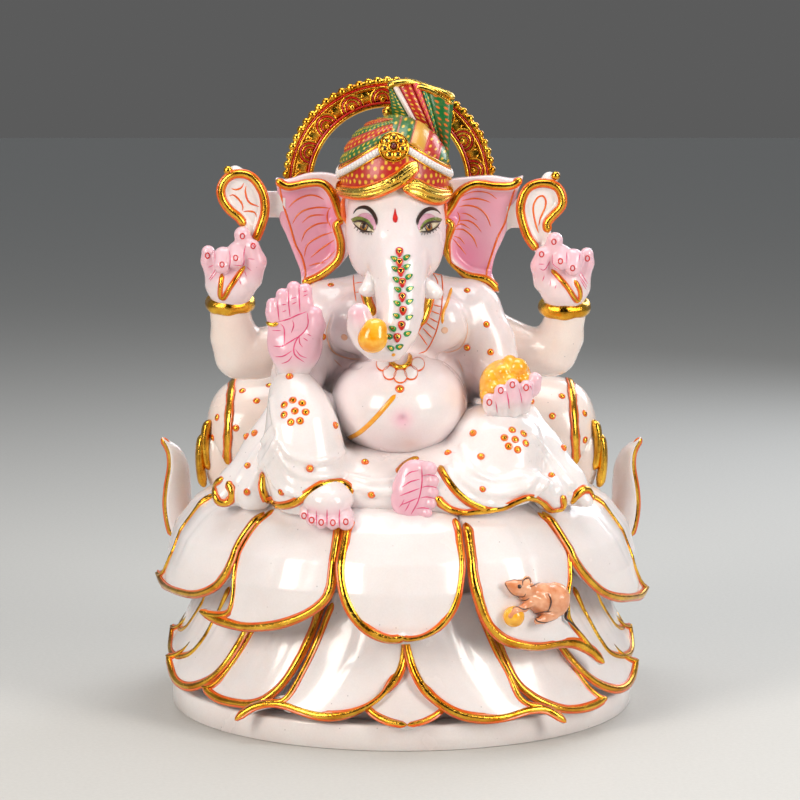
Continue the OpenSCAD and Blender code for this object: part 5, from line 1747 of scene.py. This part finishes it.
for eye in eyeShape.values():
    lids.append(patch(headField, eye["lid"], -80, 0.12))
    n = 40
    width = 3.0 * np.sin(np.linspace(0.12, math.pi - 0.35, n)) ** 0.8
    darks.append(brushLine(headField, eye["brow"], -80, width, 0.4, count=n, taper=2, lift=0.1))
    olives.append(crescent(headField, eye["shadow"][0], eye["shadow"][1], -80, 1.1))
    whites.append(patch(headField, eye["white"], -80, 0.2))
    darks.append(dab(headField, [eye["iris"]], -80, 4.6, 0.55, sides=24))
    irises.append(dab(headField, [eye["iris"]], -80, 3.9, 0.8, sides=24))
    pupils.append(dab(headField, [(eye["iris"][0], eye["iris"][1] + 0.3)], -80, 2.8, 1.1, sides=20))
    darks.append(brushLine(headField, eye["shadow"][1], -80, 1.6, 0.6, taper=6, lift=1.5))
    darks.append(brushLine(headField, [eye["white"][0], eye["white"][7], eye["white"][6], eye["white"][5],
            eye["white"][4]], -80, 1.4, 0.5, taper=6, lift=0.9))
    for x, z, dx in eye["lashes"]:
        darks.append(brushLine(headField, [(x, z), (x + dx * 0.5, z - 1.2), (x + dx, z - 2.0)], -80, 0.45,
                0.3, count=7, taper=3))
addPiece("eyeLids", join(lids), lidPaint)
addPiece("eyeShadow", join(olives), olivePaint)
addPiece("eyeWhites", join(whites), creamPaint)
addPiece("eyeIrises", join(irises), irisPaint)
addPiece("eyeDarks", join(darks + pupils), darkPaint)
glints = [dab(headField, [(x - 0.8, z + 1.1)], -80, 0.6, 1.6) for x,
          z in (eyeShape["Left"]["iris"], eyeShape["Right"]["iris"])]
addPiece("eyeGlints", join(glints), creamPaint)
tilak = [(-4.5, 369.6), (-3.6, 366), (-2.6, 362.4), (-3.2, 360), (-4.4, 359.4), (-5.8, 360.2),
         (-6.2, 362.6), (-5.4, 366)]
# orange bands down the sides of the head, beside the ears
sideOrange = [tube([(-40, -36, 378), (-42.4, -36, 369), (-41.6, -36, 360), (-38, -36, 351)], (0, -1, 0), 7.4,
              7.0, 12, taper=4),
         tube([(30.6, -36, 374), (32, -36, 367), (31, -36, 359), (29, -36, 352)], (0, -1, 0), 5.4, 7.0, 12,
              taper=4)]
addPiece("headSideOrange", join(sideOrange), orangePaint)
addPiece("foreheadMark", patch(headField, tilak, -90, 0.3), redPaint)

# a chain of leaf-shaped stones set down the trunk: red ones in gilt, green ones in pairs beside them
stoneShape = {
    "red": [(-1.5, 339.4), (-1.5, 332), (-0.5, 325.6), (0.5, 318), (0.5, 307.8), (1, 298.4), (0, 288),
            (-3, 279.4)],
    "greenLeft": [(-5.2, 335), (-4.7, 328), (-3.8, 320.5), (-2.8, 313.5), (-3.2, 303.8), (-3.7, 295),
                  (-6.2, 286), (-8.8, 280.5), (-7.8, 272.4)],
    "greenRight": [(3.6, 336), (3.8, 329.5), (5.2, 322.5), (5.8, 314), (5.6, 305), (5.4, 294), (4.2, 282.6),
                   (-1.4, 273.4)]}


def stone(field, spot, plane, long, wide, lean, height):
    # a drop-shaped stone, pointed at one end, leaning to one side
    a = np.linspace(0, 2 * math.pi, 25)[:-1]
    drop = np.stack([wide / 2 * np.sin(a) * (1 - 0.42 * np.cos(a)), long / 2 * np.cos(a)], 1)
    t = math.radians(lean)
    turned = np.stack([drop[:, 0] * math.cos(t) + drop[:, 1] * math.sin(t),
                       drop[:, 1] * math.cos(t) - drop[:, 0] * math.sin(t)], 1)
    return patch(field, np.asarray(spot) + turned, plane, height, 24, (1.0, 0.92, 0.7, 0.42))


reds, greens, golds, pales = [], [], [], []
for x, z in stoneShape["red"]:
    reds.append(stone(headField, (x, z), -100, 7.2, 5.2, 180, 0.9))
    golds.append(stone(headField, (x, z + 0.6), -100, 3.6, 3.0, 180, 1.3))
    pales.append(stone(headField, (x, z + 0.2), -100, 1.7, 1.5, 180, 1.6))
for lean, key in ((-62, "greenLeft"), (62, "greenRight")):
    for x, z in stoneShape[key]:
        greens.append(stone(headField, (x, z), -100, 5.8, 3.7, lean, 0.9))
        golds.append(stone(headField, (x, z), -100, 2.8, 1.6, lean, 1.25))
addPiece("redStones", join(reds), redPaint)
addPiece("greenStones", join(greens), greenPaint)
addPiece("stoneFoils", join(golds), goldPale)
addPiece("stoneHearts", join(pales), darkPaint)
addPiece("trunkDot", dab(headField, [(-5.6, 268.6)], -110, 1.4, 0.6), saffronPaint)

# necklace, straps, pendant, thread: leaf and brush lines that lie on the chest
chest = torsoField
necklace = [[(21, 325), (25.5, 316.5), (23, 306.5), (19, 294), (12.5, 282.5), (9, 275)],
            [(21, 325), (27.5, 323), (29, 312.5), (28.6, 303), (27.5, 294), (24, 280.5), (18, 269),
             (12, 266)],
            [(24.6, 311), (28.8, 309.6)], [(23.4, 306), (28.4, 304.6)], [(22, 301), (28, 299.4)],
            [(20.6, 296.6), (27.4, 294)],
            [(19, 292), (26, 288)], [(17, 288.4), (24.6, 282.6)], [(14.6, 284.6), (22, 277)],
            [(12, 281), (18.6, 271.6)],
            [(-34, 323), (-33.5, 313.5), (-32, 303)], [(-33.6, 316), (-27, 317)],
            [(-33.2, 309.6), (-28, 310)]]
addPiece("necklaceLines", strokes(chest, necklace, -82, 1.0, 0.4, 3), orangePaint, ["garland"])
straps = [smoothLine([(-26.5, -66, 311), (-25.2, -74, 306.5), (-22.6, -80, 300), (-19.4, -84, 293)], 22),
          smoothLine([(20.6, -66, 308), (19.2, -76, 302), (16.6, -82, 294.6), (12.6, -86, 286)], 22)]
addPiece("goldStraps", join([tube(line, (0, -1, 0), 5.6, 4.6, 14, taper=3) for line in straps]), gold)
addPiece("goldStrapLines", join([tube(line + [0, 0.9, 0], (0, -1, 0), 7.4, 2.2, 10, taper=3)
        for line in straps]), orangePaint)
pendantAngles = np.linspace(math.radians(172), math.radians(392), 26)
ring = np.stack([-0.8 + 6.6 * np.cos(pendantAngles), 265.6 + 6.6 * np.sin(pendantAngles)], 1)
pendantGold = brushLine(chest, ring, -112, 3.9, 2.6, count=30, taper=4, lift=0.8)
lobes = []
for k in range(5):
    a = math.radians(198 + k * 36)
    mid = np.array([-0.8 + 12.6 * math.cos(a), 265.6 + 12.2 * math.sin(a)])
    t = np.linspace(0, 2 * math.pi, 17)[:-1]
    lobes.append(mid + 4.5 * np.stack([np.cos(t), np.sin(t)], 1))
addPiece("pendantGold", pendantGold, gold)
addPiece("pendantLobes", join([patch(chest, lobe, -112, 1.1, 20) for lobe in lobes]), marble)
addPiece("pendantLines", join([brushLine(chest, lobe, -112, 1.0, 1.1, count=26, closed=True, lift=0.2)
        for lobe in lobes]), orangePaint)
thread = [[(-4, 241), (-16.8, 226), (-28.9, 214.4), (-41, 208)]]
addPiece("sacredThread", join([strokes(chest, thread, -112, 3.4, 0.45, 3),
         strokes(chest, [[(35.5, 313), (32.5, 303), (29.5, 295), (28.8, 287)]], -80, 2.4, 0.45, 3)]),
         saffronPaint)
# peach lines along the chest and belly creases: painted shade in the grooves; the same peach paint also makes
# two dots on the chest
creases = [[(-50, 292), (-53, 281), (-49, 268), (-38, 262.6), (-26, 262)],
           [(46, 291), (46.6, 281), (42.5, 271), (34, 267), (26, 268)],
           [(-48, 262), (-42, 256)], [(40, 262), (44, 252)]]
peachShadeAndDotPaint = brushPaint("peachCreaseShadeAndDotPaint", "E8B08C", "F0C6A8", 0.4, 8.0)
addPiece("chestCreaseShade", strokes(chest, creases, -80, 1.1, 0.16, 10), peachShadeAndDotPaint)
addPiece("chestDots", dab(chest, [(30.5, 282.5), (-40.5, 277.5)], -80, 2.5, 0.4), peachShadeAndDotPaint)


# round gilt dots in orange rings, scattered over the cloth, the shoulders and the bolster
def jewelDots(field, spots, plane, name, size=2.5, lift=0.0):
    rings = dab(field, spots, plane, size, 0.55 + lift, sides=18)
    hearts = dab(field, spots, plane, size * 0.66, 1.15 + lift, sides=14)
    addPiece(name + "Rings", rings, orangePaint)
    addPiece(name + "Gilt", hearts, gold)


jewelDots(chest, [(47, 308), (61, 283.5), (47, 266.5), (64, 263.5), (-50.5, 312), (-56.5, 274.5),
                  (-63.5, 257), (-78, 249)], -50, "shoulderDots")
clothDots = [(-108, 212), (-102.5, 214.5), (-107.5, 191.5), (-108, 173), (-84, 173), (-64, 189.5),
             (-25.5, 194), (-21, 171),
             (32.5, 200.5), (55.5, 198), (50, 214.5), (56.5, 174.5), (105, 184.5), (113, 204)]
jewelDots(chest, [(-1.2, 244.9)], -112, "threadDot", 3.2, 0.4)
clothDots = clothDots + [(-78, 254.4), (-46.4, 220)]
jewelDots(clothField, clothDots, -118, "clothDots", 2.7, 1.5)
flowers = [(-76, 237), (-69.4, 235), (-67, 228.6), (-71, 222.4), (-77.5, 221.4), (-82.2, 226.6),
           (-82, 233.6), (-74.6, 229.4),
           (77.5, 216), (85.5, 213.4), (87, 206.6), (81.4, 202), (75, 204.4), (72, 210.5), (79.6, 209.2)]
jewelDots(clothField, flowers, -112, "kneeFlowers", 2.8)
bolsterDots = [(-118, 227), (-107.5, 219.5), (-98, 231), (-137, 207), (-123, 199), (-113, 190.5),
               (-140.5, 191.5), (-138, 178), (-125.5, 171),
               (119, 223), (112, 208), (136, 210), (136.5, 190), (117.5, 184.5), (136, 166), (96, 219),
               (128, 199)]
jewelDots(bolsterField, bolsterDots, 15, "bolsterDots", 2.7)

# hems: a gilt bead with the painted line on both sides
hems = [([(-96, 189), (-96.5, 178), (-93, 169), (-84.5, 165.6), (-75, 167.5), (-66, 173.5), (-55.5, 180),
          (-46.5, 182), (-39, 180.4), (-34, 174)], -132),
        ([(26.5, 194), (31.5, 185), (38.5, 176), (46.5, 169), (55.5, 164.5), (60, 162)], -132),
        ([(24, 172), (28, 167), (35, 162.4), (44, 160.6), (52, 161.4), (58.5, 162), (70.5, 164),
          (79.5, 168), (88.5, 171), (97.5, 168), (103.5, 162.4), (109, 161.6), (113, 166), (111.5, 173)],
          -132),
        ([(-126, 178.5), (-131, 175), (-132.4, 168), (-130, 162), (-125, 160.6), (-120.8, 163.6),
          (-120.6, 170), (-123.6, 176.4)], -92),
        ([(120.5, 160), (124, 166), (129.6, 170.6), (135, 168.4), (136.6, 162.6)], -92),
        ([(-3, 186), (4, 193.4), (12, 197.6)], -118)]
hemBeads = [brushLine(clothField, line, plane, 4.6, 1.9, lift=0.2) for line, plane in hems]
hemLines = [brushLine(clothField, line, plane, 7.0, 0.7) for line, plane in hems]
addPiece("hemGilt", join(hemBeads), gold)
addPiece("hemLines", join(hemLines), orangePaint)

# hands and feet: brushed pink lines, and a ring round every nail
palmLines = [[(-86.8, 306), (-86.4, 298), (-85.6, 291)], [(-79.2, 314), (-79, 304), (-78, 293.6)],
             [(-71.6, 318), (-71.6, 308), (-71, 297)],
             [(-87, 290.6), (-79.5, 292.5), (-73, 295.4), (-66, 298)],
             [(-85, 289.5), (-82.5, 286.5), (-82, 280), (-82.5, 273.5)],
             [(-76.5, 292), (-75.5, 288), (-77.5, 282.5)],
             [(-66, 297.5), (-65.5, 289), (-68.5, 283.5), (-73, 279), (-75.5, 272.5), (-74.5, 267),
              (-68, 262)],
             [(-90, 273.5), (-84, 273.5), (-77.5, 277), (-72, 280.5)],
             [(-89, 266), (-83, 266.5), (-76.5, 270.5)],
             [(-71.5, 281.5), (-71.5, 276), (-69, 272.5)], [(-69, 279.5), (-65.5, 277)],
             [(-66.5, 282.5), (-63, 280.5)],
             [(-74.5, 271.5), (-71, 267), (-66, 265)], [(-84.5, 261), (-79.5, 263), (-76.5, 267)],
             [(-77.5, 307), (-73.4, 308)],
             [(-77, 303), (-73.2, 304.6)], [(-83.6, 297.6), (-80.4, 298.8)], [(-69, 311.6), (-65.6, 312.6)],
             [(-69, 308.6), (-65.6, 310)],
             [(-84, 302.5), (-80.5, 303)], [(-91, 284.5), (-84, 284.5)]]
addPiece("palmLines", strokes(palmField, palmLines, -100, 0.95, 0.3, 6), pinkLinePaint)
addPiece("fingerRing", brushLine(palmField, [(-94.6, 290), (-90.6, 288.4), (-86.4, 289.6)], -98, 3.0, 1.2,
        count=14, taper=2, lift=0.3), gold)
handLines = [[(-134.5, 336), (-134.2, 330.5), (-134.5, 326.5)],
             [(-124, 336), (-123.4, 330.5), (-123.6, 325.5), (-125, 320.5)],
             [(-112, 339.5), (-113.5, 333), (-113.5, 326), (-116, 324.5), (-121.5, 325)],
             [(-108, 342.5), (-106, 338), (-104, 339.5)],
             [(-133, 323), (-139, 314)], [(-132.5, 320.5), (-138.5, 313)], [(-135, 325), (-139.5, 323)],
             [(-111, 329.5), (-105.5, 329)],
             [(-112, 324), (-108, 320.5)], [(-113.5, 322), (-111.5, 316)], [(-117, 314.5), (-115.5, 310.5)],
             [(119, 335), (118.7, 326)], [(108.5, 333), (109, 326), (115, 321)], [(128.6, 334), (127.6, 327)],
             [(107.5, 328.5), (103, 321.5), (99, 322.5)], [(98.5, 325.5), (103, 325.5)],
             [(128.5, 320.5), (134.4, 311)],
             [(127.5, 318.5), (134, 308.6)], [(128.5, 315), (133.6, 306.6)], [(103, 317.5), (101.5, 313)],
             [(107.5, 314), (107, 309.5)],
             [(111.5, 310.5), (110.5, 307.5)]]
addPiece("rearHandLines", strokes(bothHands, handLines, -36, 0.85, 0.3, 6), pinkLinePaint)


def nailRings(field, spots, plane, size, name):
    t = np.linspace(0, 2 * math.pi, 13)[:-1]
    rings = [brushLine(field, np.asarray(s[:2]) + size * np.stack([0.8 * np.cos(t), np.sin(t)], 1), plane,
                       0.95, 0.45, count=20, closed=True)
             for s in spots]
    addPiece(name, join(rings), redPaint)


nailRings(bothHands, [(-139.4, 332), (-129, 325.6), (-119.2, 330.4), (-114.2, 346), (-106.6, 339),
                      (133.6, 330), (123, 323), (114.2, 328), (109.4, 342), (100.6, 333)], -40, 1.9,
                      "rearNails")
nailRings(cupHandField, [(61.8, 233.5), (69.8, 242), (78, 246), (87.6, 244)], -98, 2.1, "cupNails")
nailRings(raisedFootField, [(-38.4, 157.4), (-47.4, 156.8), (-55.4, 157), (-62, 158.6), (-67.2, 161.6)],
          -150, 2.0, "toeNails")
cupLines = [[(66.2, 234), (67, 230), (67.6, 225)], [(74, 241), (75.2, 235), (76, 228)],
            [(82.5, 243.5), (84, 238), (85, 232)], [(89, 246), (91, 244), (92, 241.6)]]
addPiece("cupHandLines", strokes(cupHandField, cupLines, -94, 1.0, 0.3, 6), pinkLinePaint)
toeLines = [[(-42.8, 166), (-42.9, 159), (-42.6, 152)], [(-51.4, 166), (-51.4, 159), (-51.4, 152.6)],
            [(-58.8, 165), (-58.7, 159), (-58.6, 154)],
            [(-64.8, 166), (-64.6, 161), (-64.4, 157)]]
soleLines = [[(14, 195.5), (14, 182.5), (11.5, 170.5), (6.5, 161)], [(13.6, 188), (19, 189), (25, 187.6)],
             [(13.8, 180), (19, 181), (26, 179.4)],
             [(12.6, 172.6), (18, 173.4), (25.4, 171.6)], [(9.6, 165), (15, 165.8), (22, 164.4)],
             [(12, 192), (6, 190.6), (2, 187)], [(13, 186), (6, 184), (0, 180)],
             [(12.8, 179.6), (6, 177), (-1.6, 174)], [(12, 173), (5, 170), (-1, 167.6)],
             [(2, 172), (0, 168), (-2, 166)], [(6, 170), (4, 166), (2, 163)]]
addPiece("footLines", join([strokes(raisedFootField, toeLines, -148, 0.95, 0.35, 5),
                            strokes(soleField, soleLines, -142, 0.9, 0.3, 5)]), pinkLinePaint)

# the gilt V on the back of each raised hand
vShapes = [[(-129, 319), (-130.4, 309), (-130.6, 302), (-128, 301.4), (-123.5, 309), (-117, 318.4),
            (-112.6, 324.6)],
           [(124.5, 314.5), (128.4, 307), (128.6, 300.6), (126, 299.6), (119.5, 309), (113, 316.5),
            (107.6, 322)]]
addPiece("handGilt", join([brushLine(bothHands, v, -38, 2.4, 1.0, lift=0.2) for v in vShapes]), gold)
addPiece("handGiltLines", strokes(bothHands, vShapes, -38, 4.2, 0.4, 3), orangePaint)
print("painted work ready")

# Floor, light and camera.

floorMat, floorTree, floorShader = startMaterial("matPaperSweep")
paper = objectNoise(floorTree, 3.0, 3.0)
floorTree.links.new(mixColour(floorTree, ramp(floorTree, paper.outputs[0], [(0.3, 0.0), (0.7, 1.0)]),
                              linear("CFCFCC"), linear("CACAC7")), floorShader.inputs["Base Color"])
floorShader.inputs["Roughness"].default_value = 0.75
corner = 9000.0
sweep = np.array([(-corner, -corner, -0.2), (corner, -corner, -0.2), (corner, corner, -0.2),
                  (-corner, corner, -0.2)])
floorMesh = bpy.data.meshes.new("studioFloor")
floorMesh.from_pydata((sweep / 1000).tolist(), [], [(0, 1, 2, 3)])
floorMesh.materials.append(floorMat)
floor = bpy.data.objects.new("studioFloor", floorMesh)
bpy.context.scene.collection.objects.link(floor)

world = bpy.data.worlds.new("studioWorld")
bpy.context.scene.world = world
world.use_nodes = True
# The room is dark behind the camera, so gilt edges show a dark heart between bright sides.
sky = world.node_tree
backdrop = next(n for n in sky.nodes if n.type == "BACKGROUND")
direction = addNode(sky, "ShaderNodeTexCoord")
split = addNode(sky, "ShaderNodeSeparateXYZ", links={0: direction.outputs["Generated"]})
forward = addNode(sky, "ShaderNodeMath", {"operation": "MULTIPLY_ADD", 1: 0.5, 2: 0.5}, {0: split.outputs[1]})
room = ramp(sky, forward.outputs[0], [(0.0, linear("101010")), (0.16, linear("161616")),
        (0.3, linear("B9BCC0")), (1.0, linear("C4C7CA"))])
seen = addNode(sky, "ShaderNodeLightPath")
sky.links.new(mixColour(sky, seen.outputs["Is Camera Ray"], room, linear("8C8C8C")), backdrop.inputs[0])
backdrop.inputs[1].default_value = 0.40


def softBox(name, place, aim, size, power, colour="FFFFFF"):
    lamp = bpy.data.lights.new(name, "AREA")
    lamp.shape = "RECTANGLE"
    lamp.size, lamp.size_y = size
    lamp.energy = power
    lamp.color = linear(colour)[:3]
    obj = bpy.data.objects.new(name, lamp)
    obj.location = Vector(place) / 1000
    obj.rotation_euler = (Vector(aim) / 1000 - obj.location).to_track_quat("-Z", "Y").to_euler()
    bpy.context.scene.collection.objects.link(obj)


softBox("softBoxLeft", (-1300, -1300, 1000), (0, 0, 230), (0.7, 1.1), 25, "FFF6EC")
softBox("softBoxRight", (1250, -1000, 900), (0, 0, 230), (0.6, 1.0), 18, "FFF9F2")
softBox("softBoxTop", (0, 100, 1700), (0, 0, 200), (1.2, 0.9), 14)
softBox("softBoxBack", (900, 1300, 1000), (0, 0, 250), (0.8, 0.8), 9, "F4F8FF")

cameraData = bpy.data.cameras.new("studioCamera")
cameraData.lens = studio["lens"]
cameraData.sensor_width = 36.0
cameraData.shift_x = studio["sideShift"]
camera = bpy.data.objects.new("studioCamera", cameraData)
camera.location = (0, -studio["distance"] / 1000, studio["height"] / 1000)
camera.rotation_euler = (Vector((0, 0, studio["aim"] / 1000)) - camera.location).to_track_quat("-Z",
        "Y").to_euler()
bpy.context.scene.collection.objects.link(camera)
bpy.context.scene.camera = camera

bpy.context.scene.view_settings.view_transform = "Standard"

print("scene ready")
